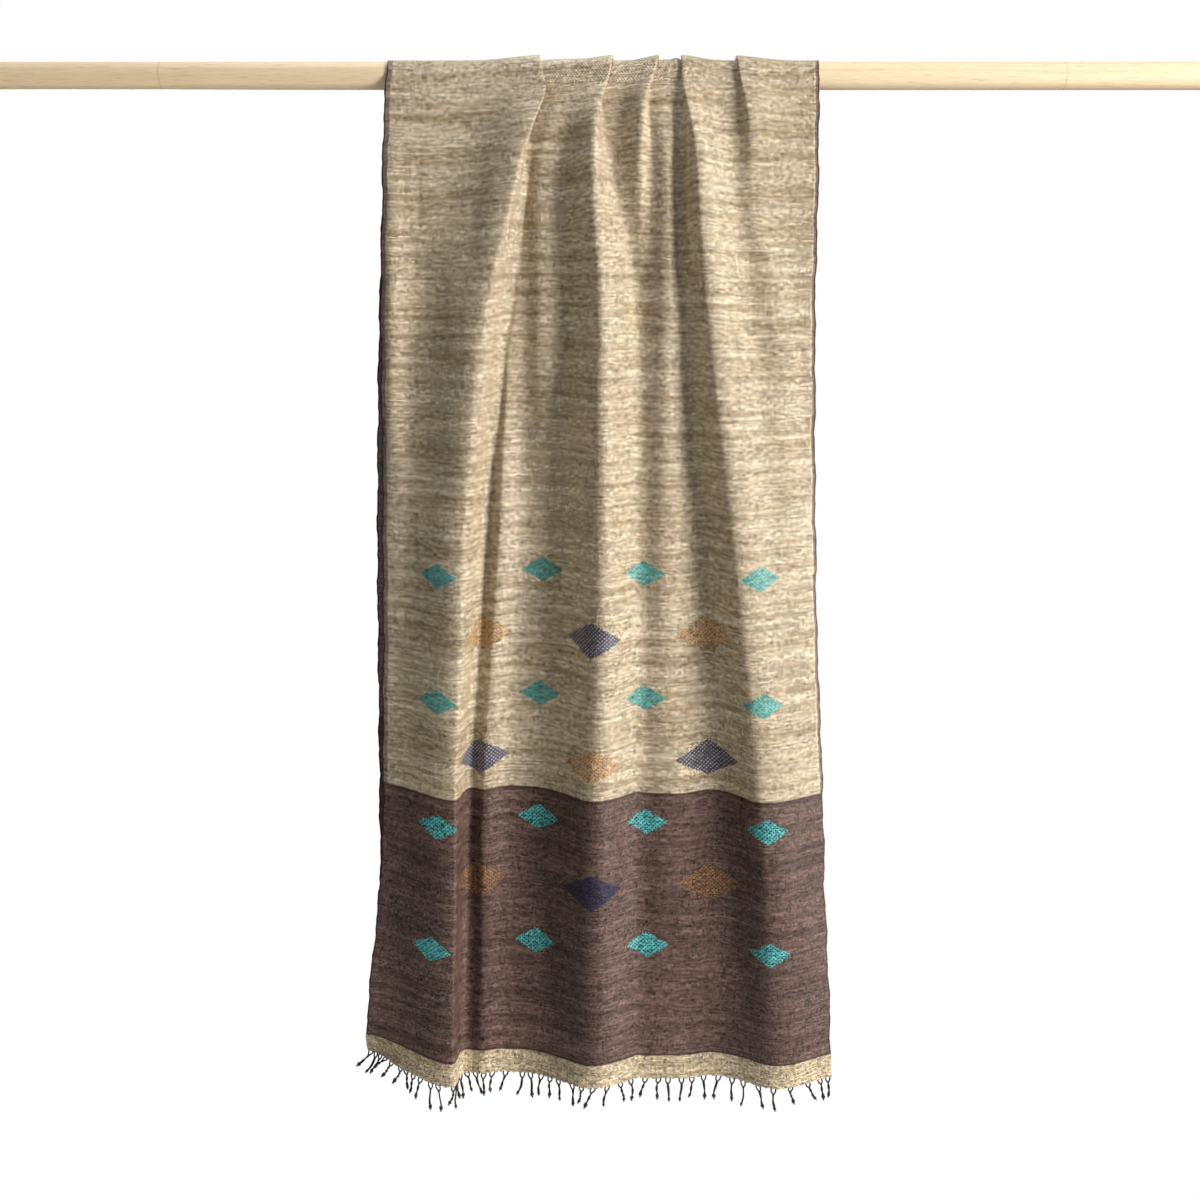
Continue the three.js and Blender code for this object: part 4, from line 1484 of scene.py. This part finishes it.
SILKS = (
    SilkFinish(
        Ground.NATURAL,
        warp=linear(112, 88, 66),
        weft_light=linear(226, 212, 184),
        weft_dark=linear(166, 146, 114),
        warp_share=0.26,
        slub=1.5,
        grain=0.95,
        roughness=0.46,
        sheen=0.25,
    ),
    SilkFinish(
        Ground.BROWN,
        warp=linear(70, 50, 40),
        weft_light=linear(124, 98, 88),
        weft_dark=linear(74, 55, 47),
        warp_share=0.34,
        slub=1.5,
        grain=1.4,
        roughness=0.5,
        sheen=0.15,
    ),
    SilkFinish(
        Ground.PALE,
        warp=linear(150, 126, 98),
        weft_light=linear(222, 206, 176),
        weft_dark=linear(176, 156, 124),
        warp_share=0.24,
        slub=1.2,
        grain=1.15,
        roughness=0.5,
        sheen=0.2,
    ),
)


# --------------------------------------------------------------------------- geometry nodes


class ShapeTree:
    """A Geometry Nodes tree that is built, run once on an object, and taken off again."""

    def __init__(self, name: str) -> None:
        """Args:
        name: the tree's name.
        """
        self.tree = bpy.data.node_groups.new(name, "GeometryNodeTree")
        self.tree.interface.new_socket("Geometry", in_out="INPUT", socket_type="NodeSocketGeometry")
        self.tree.interface.new_socket("Geometry", in_out="OUTPUT", socket_type="NodeSocketGeometry")
        self.start = self.tree.nodes.new("NodeGroupInput")
        self.end = self.tree.nodes.new("NodeGroupOutput")
        self.values: dict[str, Union[int, float]] = {}

    def number(self, name: str, value: Union[int, float]) -> bpy.types.NodeSocket:
        """Args:
            name: the input's name.
            value: what the modifier sets it to.

        Returns:
            The input's socket inside the tree.
        """
        kind = "NodeSocketInt" if isinstance(value, int) else "NodeSocketFloat"
        item = self.tree.interface.new_socket(name, in_out="INPUT", socket_type=kind)
        self.values[item.identifier] = value
        return self.start.outputs[name]

    def add(
        self, kind: str, inputs: Optional[dict[Union[int, str], object]] = None, **settings: object
    ) -> bpy.types.Node:
        """Args:
            kind: the node's type.
            inputs: for each input, the output that feeds it or its own value.
            settings: the node's plain settings.

        Returns:
            The new node.
        """
        node = self.tree.nodes.new(kind)
        for name, value in settings.items():
            setattr(node, name, value)
        for key, value in (inputs or {}).items():
            if isinstance(value, bpy.types.NodeSocket):
                self.tree.links.new(value, node.inputs[key])
            else:
                node.inputs[key].default_value = value
        return node

    def math(self, operation: str, *values: object) -> bpy.types.NodeSocket:
        """A sum of one, two or three numbers."""
        node = self.add("ShaderNodeMath", dict(enumerate(values)), operation=operation)
        return node.outputs[0]

    def vector(self, operation: str, *values: object) -> bpy.types.NodeSocket:
        """A sum of vectors; a number scales the first one."""
        node = self.add("ShaderNodeVectorMath", operation=operation)
        for key, value in zip((0, 3) if operation == "SCALE" else (0, 1), values):
            if isinstance(value, bpy.types.NodeSocket):
                self.tree.links.new(value, node.inputs[key])
            else:
                node.inputs[key].default_value = value
        return node.outputs[0]

    def join(self, *shapes: bpy.types.NodeSocket) -> bpy.types.NodeSocket:
        """Several shapes as one."""
        node = self.add("GeometryNodeJoinGeometry")
        for shape in shapes:
            self.tree.links.new(shape, node.inputs[0])
        return node.outputs[0]

    def finish(self, shape: bpy.types.NodeSocket, material: bpy.types.Material) -> None:
        """Ends the tree: the shape realized, smooth and in its material."""
        real = self.add("GeometryNodeRealizeInstances", {0: shape})
        smooth_shape = self.add("GeometryNodeSetShadeSmooth", {0: real.outputs[0]})
        dressed = self.add("GeometryNodeSetMaterial", {0: smooth_shape.outputs[0], 2: material})
        self.tree.links.new(dressed.outputs[0], self.end.inputs[0])

    def apply(self, name: str, guide: bpy.types.Mesh) -> bpy.types.Object:
        """Args:
            name: the new object's name.
            guide: the mesh that the tree starts from.

        Returns:
            A plain object, at the origin, with the tree's result as its mesh.
        """
        thing = bpy.data.objects.new(name, guide)
        bpy.context.scene.collection.objects.link(thing)
        modifier = thing.modifiers.new(self.tree.name, "NODES")
        modifier.node_group = self.tree
        for identifier, value in self.values.items():
            modifier[identifier] = value
        bpy.context.view_layer.update()
        made = bpy.data.meshes.new_from_object(thing.evaluated_get(bpy.context.evaluated_depsgraph_get()))
        thing.modifiers.remove(modifier)
        thing.data = made
        made.name = name
        bpy.data.meshes.remove(guide)
        return thing


# --------------------------------------------------------------------------- fringe


@dataclass(frozen=True)
class Strand:
    """One strand: its place along the hem, and where its tip goes, in millimetres."""

    at: float
    swing: float
    drop: float


FRONT_STRANDS = tuple(
    Strand(at, swing, drop)
    for at, swing, drop in (
        (3.4, -15.5, 14),
        (8.6, -11, 19.9),
        (14.2, -10, 16.4),
        (20.6, -13, 8.5),
        (27.3, -9.5, 12.5),
        (36.8, -6.4, 12),
        (42.4, 1.3, 16.3),
        (50.9, -3.5, 16.3),
        (58.9, -4.2, 17.2),
        (69.5, -0.6, 24.7),
        (76.7, 3, 23.8),
        (91, -4, 14.9),
        (97, -1, 23.8),
        (103, 0.9, 16.8),
        (109, 3.5, 20.2),
        (116.3, 5, 17.2),
        (124.9, 6.3, 19.6),
        (133.9, 1.2, 19.3),
        (142.3, -2, 17.8),
        (154.8, -6.6, 17.8),
        (170.6, -5.4, 20.8),
        (178.5, 2, 22.3),
        (189.4, -3.2, 19.3),
        (198.8, 0, 17.2),
        (207.5, 1.8, 18.7),
        (222.4, 0.3, 19.9),
        (232.5, -2.9, 12.9),
        (244.1, -7.9, 16.3),
        (257.8, -4.5, 18.4),
        (271.3, 3.9, 15.7),
        (282.7, 1.4, 18.3),
        (297.5, -5.9, 16.3),
        (310.4, -1.5, 17.8),
        (319.4, 1.8, 21.7),
        (332, -2.4, 21.7),
        (342, -3.5, 17.8),
        (353.5, 1.8, 20.8),
        (367.8, -5.2, 20.8),
        (380.6, -0.9, 20.2),
        (391.3, -2, 23.8),
        (406.4, 4.8, 20.2),
        (421, 0.9, 19.9),
        (437.5, 3.9, 13.5),
        (455, 8.5, 14.8),
        (467.7, 2.9, 17.2),
        (476, 0.9, 17.8),
    )
)


def back_strands() -> tuple[Strand, ...]:
    """The hidden hem's strands: the same kinds, met from the other end of the table."""
    count = len(FRONT_STRANDS)
    others = [FRONT_STRANDS[(i * 7 + 3) % count] for i in range(count)]
    return tuple(
        Strand(own.at, 0.5 * other.swing, max(14.0, other.drop)) for own, other in zip(FRONT_STRANDS, others)
    )


@dataclass
class Fringe:
    """The twisted strands of one hem, each with its knot and its tuft, in millimetres.

    The turns in capitals are steps of a wave's phase from one strand or hair to the next,
    so that no two of them bend alike.
    """

    panel: Panel
    node: str
    strands: tuple[Strand, ...]
    root: float = 1.7
    leg_reach: float = 0.6
    bow: float = 1.3
    curl: float = 0.55
    sway: float = 0.8
    knot_at: float = 0.86
    points: int = 22
    leg_spread: float = 2.1
    ply_radius: float = 0.74
    twist_radius: float = 0.62
    twist_pitch: float = 4.2
    knot_radius: float = 1.8
    tuft_hairs: int = 13
    tuft_length: float = 3.4
    rings: int = 46
    sides: int = 6

    SWING_POWER = 1.4
    BOW_TURN = 1.3
    CURL_TURN = 2.0
    CURL_WAVES = 9.0
    SWAY_TURN = 2.1
    PLY_TURN = 2.4
    PLIES_MEET = (0.12, 0.34)
    KNOT_SIZES = (0.8, 1.25)
    HAIR_RADII = (0.14 * MM, 0.34 * MM)
    HAIR_SIDES = 5
    HAIR_TURN = 2.4
    HAIR_TILTS = (0.05, 0.42)
    HAIR_SIZES = (0.72, 1.05)
    SEEDS = {Panel.FRONT: 7, Panel.BACK: 19}

    def build(self, drape: Drape, material: bpy.types.Material) -> None:
        """Args:
        drape: the cloth that the strands hang from.
        material: their finish.
        """
        tree = self._tree(material)
        thing = tree.apply(f"{self.node}_strands", self._guides(drape))
        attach(thing, "root")
        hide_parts(self.node)
        LOG.info("%s: %d strands, %d faces", thing.name, len(self.strands), len(thing.data.polygons))

    def _guides(self, drape: Drape) -> bpy.types.Mesh:
        """One line of points a strand, with the cloth's direction at its root."""
        end = ALONG.front_fringe if self.panel is Panel.FRONT else ALONG.back_fringe
        v = end - self.panel.value * self.root
        at = np.array([strand.at for strand in self.strands])
        roots = drape.row(at, v)
        legs = drape.row(at + self.leg_reach, v) - drape.row(at - self.leg_reach, v)
        legs /= np.linalg.norm(legs, axis=1, keepdims=True)
        share = np.linspace(0.0, 1.0, self.points) * self.knot_at
        places, sides, edges = [], [], []
        for k, strand in enumerate(self.strands):
            bow = self.bow * math.sin(self.BOW_TURN * k + 0.6)
            curl = self.curl * np.sin(self.CURL_WAVES * share + self.CURL_TURN * k) * share
            swing = strand.swing * share**self.SWING_POWER
            line = np.repeat(roots[k][None], self.points, axis=0)
            line[:, 0] += swing + bow * np.sin(math.pi * share) + curl
            line[:, 1] += self.sway * math.sin(self.SWAY_TURN * k) * share + 0.6 * curl
            line[:, 2] -= (strand.drop + self.root) * share
            first = k * self.points
            edges += [(first + i, first + i + 1) for i in range(self.points - 1)]
            places.append(line)
            sides.append(np.repeat(legs[k][None], self.points, axis=0))
        mesh = bpy.data.meshes.new(f"{self.node}_guides")
        mesh.from_pydata((np.concatenate(places) * MM).tolist(), edges, [])
        leg = mesh.attributes.new("leg", "FLOAT_VECTOR", "POINT")
        leg.data.foreach_set("vector", np.concatenate(sides).astype(np.float32).reshape(-1))
        return mesh

    def _tree(self, material: bpy.types.Material) -> ShapeTree:
        """The tree that twists, knots and frays each guide line."""
        tree = ShapeTree(f"{self.node}_twist")
        ply_radius = tree.number("Ply Radius", self.ply_radius * MM)
        twist_radius = tree.number("Twist Radius", self.twist_radius * MM)
        turns = tree.number("Turns Per Metre", 1.0 / (self.twist_pitch * MM))
        leg_spread = tree.number("Leg Spread", self.leg_spread * MM)
        knot_radius = tree.number("Knot Radius", self.knot_radius * MM)
        tuft_length = tree.number("Tuft Length", self.tuft_length * MM)
        hairs = tree.number("Tuft Hairs", self.tuft_hairs)
        rings = tree.number("Rings", self.rings)
        sides = tree.number("Sides", self.sides)
        seed = tree.number("Seed", self.SEEDS[self.panel])

        lines = tree.add("GeometryNodeMeshToCurve", {0: tree.start.outputs["Geometry"]}).outputs[0]
        fine = tree.add("GeometryNodeResampleCurve", {0: lines, 2: rings}).outputs[0]
        plies = [
            self._ply(tree, fine, way, ply_radius, twist_radius, turns, leg_spread, sides)
            for way in (1, -1)
        ]
        ends = tree.add("GeometryNodeCurveEndpointSelection", {0: 0, 1: 1}).outputs[0]
        tangent = tree.add("GeometryNodeInputTangent").outputs[0]
        along = tree.add("FunctionNodeAlignRotationToVector", {2: tangent}, axis="Z").outputs[0]
        spin = self._random(tree, 0.0, 2 * math.pi, seed)
        turn = tree.add("FunctionNodeAxisAngleToRotation", {0: (0.0, 0.0, 1.0), 1: spin}).outputs[0]
        rotation = tree.add(
            "FunctionNodeRotateRotation", {0: along, 1: turn}, rotation_space="LOCAL"
        ).outputs[0]
        size = self._random(tree, *self.KNOT_SIZES, tree.math("ADD", seed, 3))
        tip = tree.join(self._knot(tree, knot_radius), self._tuft(tree, tuft_length, hairs, seed))
        tips = tree.add(
            "GeometryNodeInstanceOnPoints", {0: fine, 1: ends, 2: tip, 5: rotation, 6: size}
        ).outputs[0]
        tree.finish(tree.join(*plies, tips), material)
        return tree

    @staticmethod
    def _random(tree: ShapeTree, low: float, high: float, seed: object) -> bpy.types.NodeSocket:
        """A random number for each point."""
        node = tree.add("FunctionNodeRandomValue", {2: low, 3: high, 8: seed}, data_type="FLOAT")
        return node.outputs[1]

    def _ply(
        self,
        tree: ShapeTree,
        lines: bpy.types.NodeSocket,
        way: int,
        radius: bpy.types.NodeSocket,
        twist: bpy.types.NodeSocket,
        turns: bpy.types.NodeSocket,
        leg_spread: bpy.types.NodeSocket,
        sides: bpy.types.NodeSocket,
    ) -> bpy.types.NodeSocket:
        """One of a strand's two plies: a leg of its own at the root, then a helix."""
        parameter = tree.add("GeometryNodeSplineParameter")
        share, length = parameter.outputs[0], parameter.outputs[1]
        spline = parameter.outputs[2]
        normal = tree.add("GeometryNodeInputNormal").outputs[0]
        tangent = tree.add("GeometryNodeInputTangent").outputs[0]
        binormal = tree.vector("CROSS_PRODUCT", tangent, normal)
        leg = tree.add("GeometryNodeInputNamedAttribute", {0: "leg"}, data_type="FLOAT_VECTOR").outputs[0]
        start = 0.0 if way > 0 else math.pi
        angle = tree.math("MULTIPLY_ADD", length, tree.math("MULTIPLY", turns, 2 * math.pi), start)
        angle = tree.math("ADD", angle, tree.math("MULTIPLY", spline, self.PLY_TURN))
        first, last = self.PLIES_MEET
        joined = tree.add(
            "ShaderNodeMapRange", {0: share, 1: first, 2: last}, interpolation_type="SMOOTHSTEP"
        ).outputs[0]
        apart = tree.math("MULTIPLY", tree.math("SUBTRACT", 1.0, joined), float(way))
        reach = tree.math("MULTIPLY", twist, joined)
        across = tree.vector("SCALE", normal, tree.math("MULTIPLY", reach, tree.math("COSINE", angle)))
        up = tree.vector("SCALE", binormal, tree.math("MULTIPLY", reach, tree.math("SINE", angle)))
        out = tree.vector("SCALE", leg, tree.math("MULTIPLY", apart, leg_spread))
        offset = tree.vector("ADD", tree.vector("ADD", across, up), out)
        moved = tree.add("GeometryNodeSetPosition", {0: lines, 3: offset}).outputs[0]
        profile = tree.add("GeometryNodeCurvePrimitiveCircle", {0: sides, 4: radius}).outputs[0]
        return tree.add("GeometryNodeCurveToMesh", {0: moved, 1: profile, 3: True}).outputs[0]

    @staticmethod
    def _knot(tree: ShapeTree, radius: bpy.types.NodeSocket) -> bpy.types.NodeSocket:
        """An overhand knot, as two crossed flattened beads."""
        bead = tree.add("GeometryNodeMeshIcoSphere", {0: radius, 1: 2}).outputs[0]
        first = tree.add(
            "GeometryNodeTransform", {0: bead, 2: (0.5, 0.25, 0.0), 3: (1.0, 0.82, 0.8)}
        ).outputs[0]
        second = tree.add(
            "GeometryNodeTransform", {0: bead, 2: (-0.5, 0.1, 1.5), 3: (0.95, 0.75, 1.05)}
        ).outputs[0]
        return tree.join(first, second)

    def _tuft(
        self,
        tree: ShapeTree,
        length: bpy.types.NodeSocket,
        hairs: bpy.types.NodeSocket,
        seed: bpy.types.NodeSocket,
    ) -> bpy.types.NodeSocket:
        """Loose ends that spread below a knot."""
        top, bottom = self.HAIR_RADII
        hair = tree.add(
            "GeometryNodeMeshCone",
            {0: self.HAIR_SIDES, 3: top, 4: bottom, 5: length},
            fill_type="NGON",
        ).outputs[0]
        roots = tree.add("GeometryNodePoints", {0: hairs}).outputs[0]
        index = tree.add("GeometryNodeInputIndex").outputs[0]
        round_it = tree.math("MULTIPLY", index, self.HAIR_TURN)
        tilt = self._random(tree, *self.HAIR_TILTS, tree.math("ADD", seed, 1))
        euler = tree.add("ShaderNodeCombineXYZ", {0: tilt, 2: round_it}).outputs[0]
        rotation = tree.add("FunctionNodeEulerToRotation", {0: euler}).outputs[0]
        size = self._random(tree, *self.HAIR_SIZES, tree.math("ADD", seed, 2))
        return tree.add(
            "GeometryNodeInstanceOnPoints", {0: roots, 2: hair, 5: rotation, 6: size}
        ).outputs[0]


# --------------------------------------------------------------------------- rod


@dataclass
class Rod:
    """The round rod, along X, with a small rounding at each end, in metres."""

    length: float = 1.2
    diameter: float = 0.025
    chamfer: float = 0.0015
    chamfer_points: int = 6
    sides: int = 96
    pitch: float = 0.02

    def build(self) -> bpy.types.Object:
        """Returns:
        The rod, as one object.
        """
        tree = ShapeTree("turned_rod")
        sides = tree.number("Sides", self.sides)
        radius = tree.number("Radius", self.diameter / 2)
        line = tree.add("GeometryNodeMeshToCurve", {0: tree.start.outputs["Geometry"]}).outputs[0]
        scale = tree.add("GeometryNodeInputNamedAttribute", {0: "thickness"}, data_type="FLOAT").outputs[0]
        profile = tree.add("GeometryNodeCurvePrimitiveCircle", {0: sides, 4: radius}).outputs[0]
        body = tree.add("GeometryNodeCurveToMesh", {0: line, 1: profile, 2: scale, 3: True}).outputs[0]
        tree.finish(body, WoodFinish().make())
        thing = tree.apply("wooden_rod", self._axis())
        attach(thing, "root")
        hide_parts("rod")
        LOG.info("%s: %d faces", thing.name, len(thing.data.polygons))
        return thing

    def _axis(self) -> bpy.types.Mesh:
        """The rod's axis, with the share of its radius that it has at each point."""
        half = self.length / 2
        quarter = np.linspace(0.0, math.pi / 2, self.chamfer_points)
        inwards = self.chamfer * (1 - np.sin(quarter))
        shares = 1 - self.chamfer * (1 - np.cos(math.pi / 2 - quarter)) / (self.diameter / 2)
        body = np.linspace(self.chamfer, self.length - self.chamfer, int(self.length / self.pitch) + 1)
        left_end, right_end = self.chamfer - inwards[::-1], self.length - self.chamfer + inwards
        places = np.concatenate([left_end, body[1:-1], right_end])
        sizes = np.concatenate([shares[::-1], np.ones(len(body) - 2), shares])
        order = np.argsort(places)
        points = [(float(x) - half, 0.0, 0.0) for x in places[order]]
        mesh = bpy.data.meshes.new("rod_axis")
        mesh.from_pydata(points, [(i, i + 1) for i in range(len(points) - 1)], [])
        thickness = mesh.attributes.new("thickness", "FLOAT", "POINT")
        thickness.data.foreach_set("value", sizes[order].astype(np.float32))
        return mesh


# --------------------------------------------------------------------------- studio


@dataclass(frozen=True)
class Lamp:
    """A soft area lamp that looks at the middle of the scarf."""

    name: str
    direction: tuple[float, float, float]
    distance: float
    size: float
    power: float
    colour: Colour = (1.0, 1.0, 1.0)


@dataclass
class Studio:
    """Camera, lamps, white surround and pale floor."""

    aim: tuple[float, float, float] = (-0.0022, 0.0, -0.5036)
    camera_distance: float = 1.214
    focal_pixels: float = 1263.0
    frame_pixels: float = 1200.0
    sensor: float = 36.0
    floor_height: float = -2.0
    floor_radius: float = 1.6
    floor_sides: int = 96
    surround: float = 1.0
    ambient: float = 0.165
    lamps: tuple[Lamp, ...] = (
        Lamp("key", (0.80, -0.46, 0.15), 2.7, 1.1, 104.0, (1.0, 0.985, 0.96)),
        Lamp("top", (-0.1, -0.03, 1.0), 2.2, 0.8, 20.0),
        Lamp("back", (-0.5, 0.85, 0.25), 2.8, 0.8, 62.0),
        Lamp("front", (-0.1, -1.0, 0.15), 3.0, 1.6, 2.5),
    )

    def build(self) -> None:
        """Makes everything that isn't part of the object."""
        self._camera()
        for lamp in self.lamps:
            self._lamp(lamp)
        self._surround()
        self._floor()
        scene = bpy.context.scene
        scene.view_settings.view_transform = "Standard"
        scene.view_settings.look = "None"

    def _camera(self) -> None:
        """Level, in front of the scarf."""
        data = bpy.data.cameras.new("camera")
        data.sensor_width = self.sensor
        data.lens = self.sensor * self.focal_pixels / self.frame_pixels
        camera = bpy.data.objects.new("camera", data)
        camera.location = (self.aim[0], -self.camera_distance, self.aim[2])
        camera.rotation_euler = (math.pi / 2, 0.0, 0.0)
        bpy.context.scene.collection.objects.link(camera)
        bpy.context.scene.camera = camera

    def _lamp(self, lamp: Lamp) -> None:
        """Places one lamp."""
        data = bpy.data.lights.new(lamp.name, "AREA")
        data.shape = "DISK"
        data.size = lamp.size
        data.energy = lamp.power
        data.color = lamp.colour
        thing = bpy.data.objects.new(lamp.name, data)
        direction = np.array(lamp.direction) / np.linalg.norm(lamp.direction)
        place = np.array(self.aim) + direction * lamp.distance
        thing.location = place.tolist()
        level = math.hypot(direction[0], direction[1])
        thing.rotation_euler = (
            math.pi / 2 - math.atan2(direction[2], level),
            0.0,
            math.atan2(direction[0], -direction[1]),
        )
        bpy.context.scene.collection.objects.link(thing)

    def _surround(self) -> None:
        """A white surround that lights the object only weakly."""
        world = bpy.data.worlds.new("surround")
        world.use_nodes = True
        tree = world.node_tree
        background = tree.nodes["Background"]
        background.inputs["Color"].default_value = (1.0, 1.0, 1.0, 1.0)
        path = tree.nodes.new("ShaderNodeLightPath")
        strength = tree.nodes.new("ShaderNodeMapRange")
        strength.inputs["To Min"].default_value = self.ambient
        strength.inputs["To Max"].default_value = self.surround
        tree.links.new(path.outputs["Is Camera Ray"], strength.inputs["Value"])
        tree.links.new(strength.outputs[0], background.inputs["Strength"])
        bpy.context.scene.world = world

    def _floor(self) -> None:
        """A plain round floor, well below the scarf."""
        count = self.floor_sides
        ring = [
            (
                self.floor_radius * math.cos(2 * math.pi * i / count),
                self.floor_radius * math.sin(2 * math.pi * i / count),
                self.floor_height,
            )
            for i in range(count)
        ]
        mesh = bpy.data.meshes.new("studio_floor")
        mesh.from_pydata(ring, [], [tuple(range(count))])
        material = bpy.data.materials.new("studio_floor")
        graph = Graph(material)
        x, y, _ = graph.object_place()
        cloudy = graph.noise(x * 2.0, y * 2.0, detail=2.0)
        colour = graph.mix(cloudy, linear(232, 231, 229), linear(240, 239, 237))
        graph.surface(colour, 0.9, cloudy, 0.0002)
        mesh.materials.append(material)
        floor = bpy.data.objects.new("studio_floor", mesh)
        bpy.context.scene.collection.objects.link(floor)


# --------------------------------------------------------------------------- main


def main() -> None:
    """Builds the studio, the rod, the scarf and its fringes."""
    logging.basicConfig(level=logging.INFO, format="%(name)s: %(message)s")
    Studio().build()
    rod = Rod().build()
    scarf = Scarf()
    scarf.build(rod)
    yarn = YarnFinish().make()
    Fringe(Panel.FRONT, "front_fringe", FRONT_STRANDS).build(scarf.drape, yarn)
    Fringe(Panel.BACK, "back_fringe", back_strands()).build(scarf.drape, yarn)


if __name__ == "__main__":
    main()
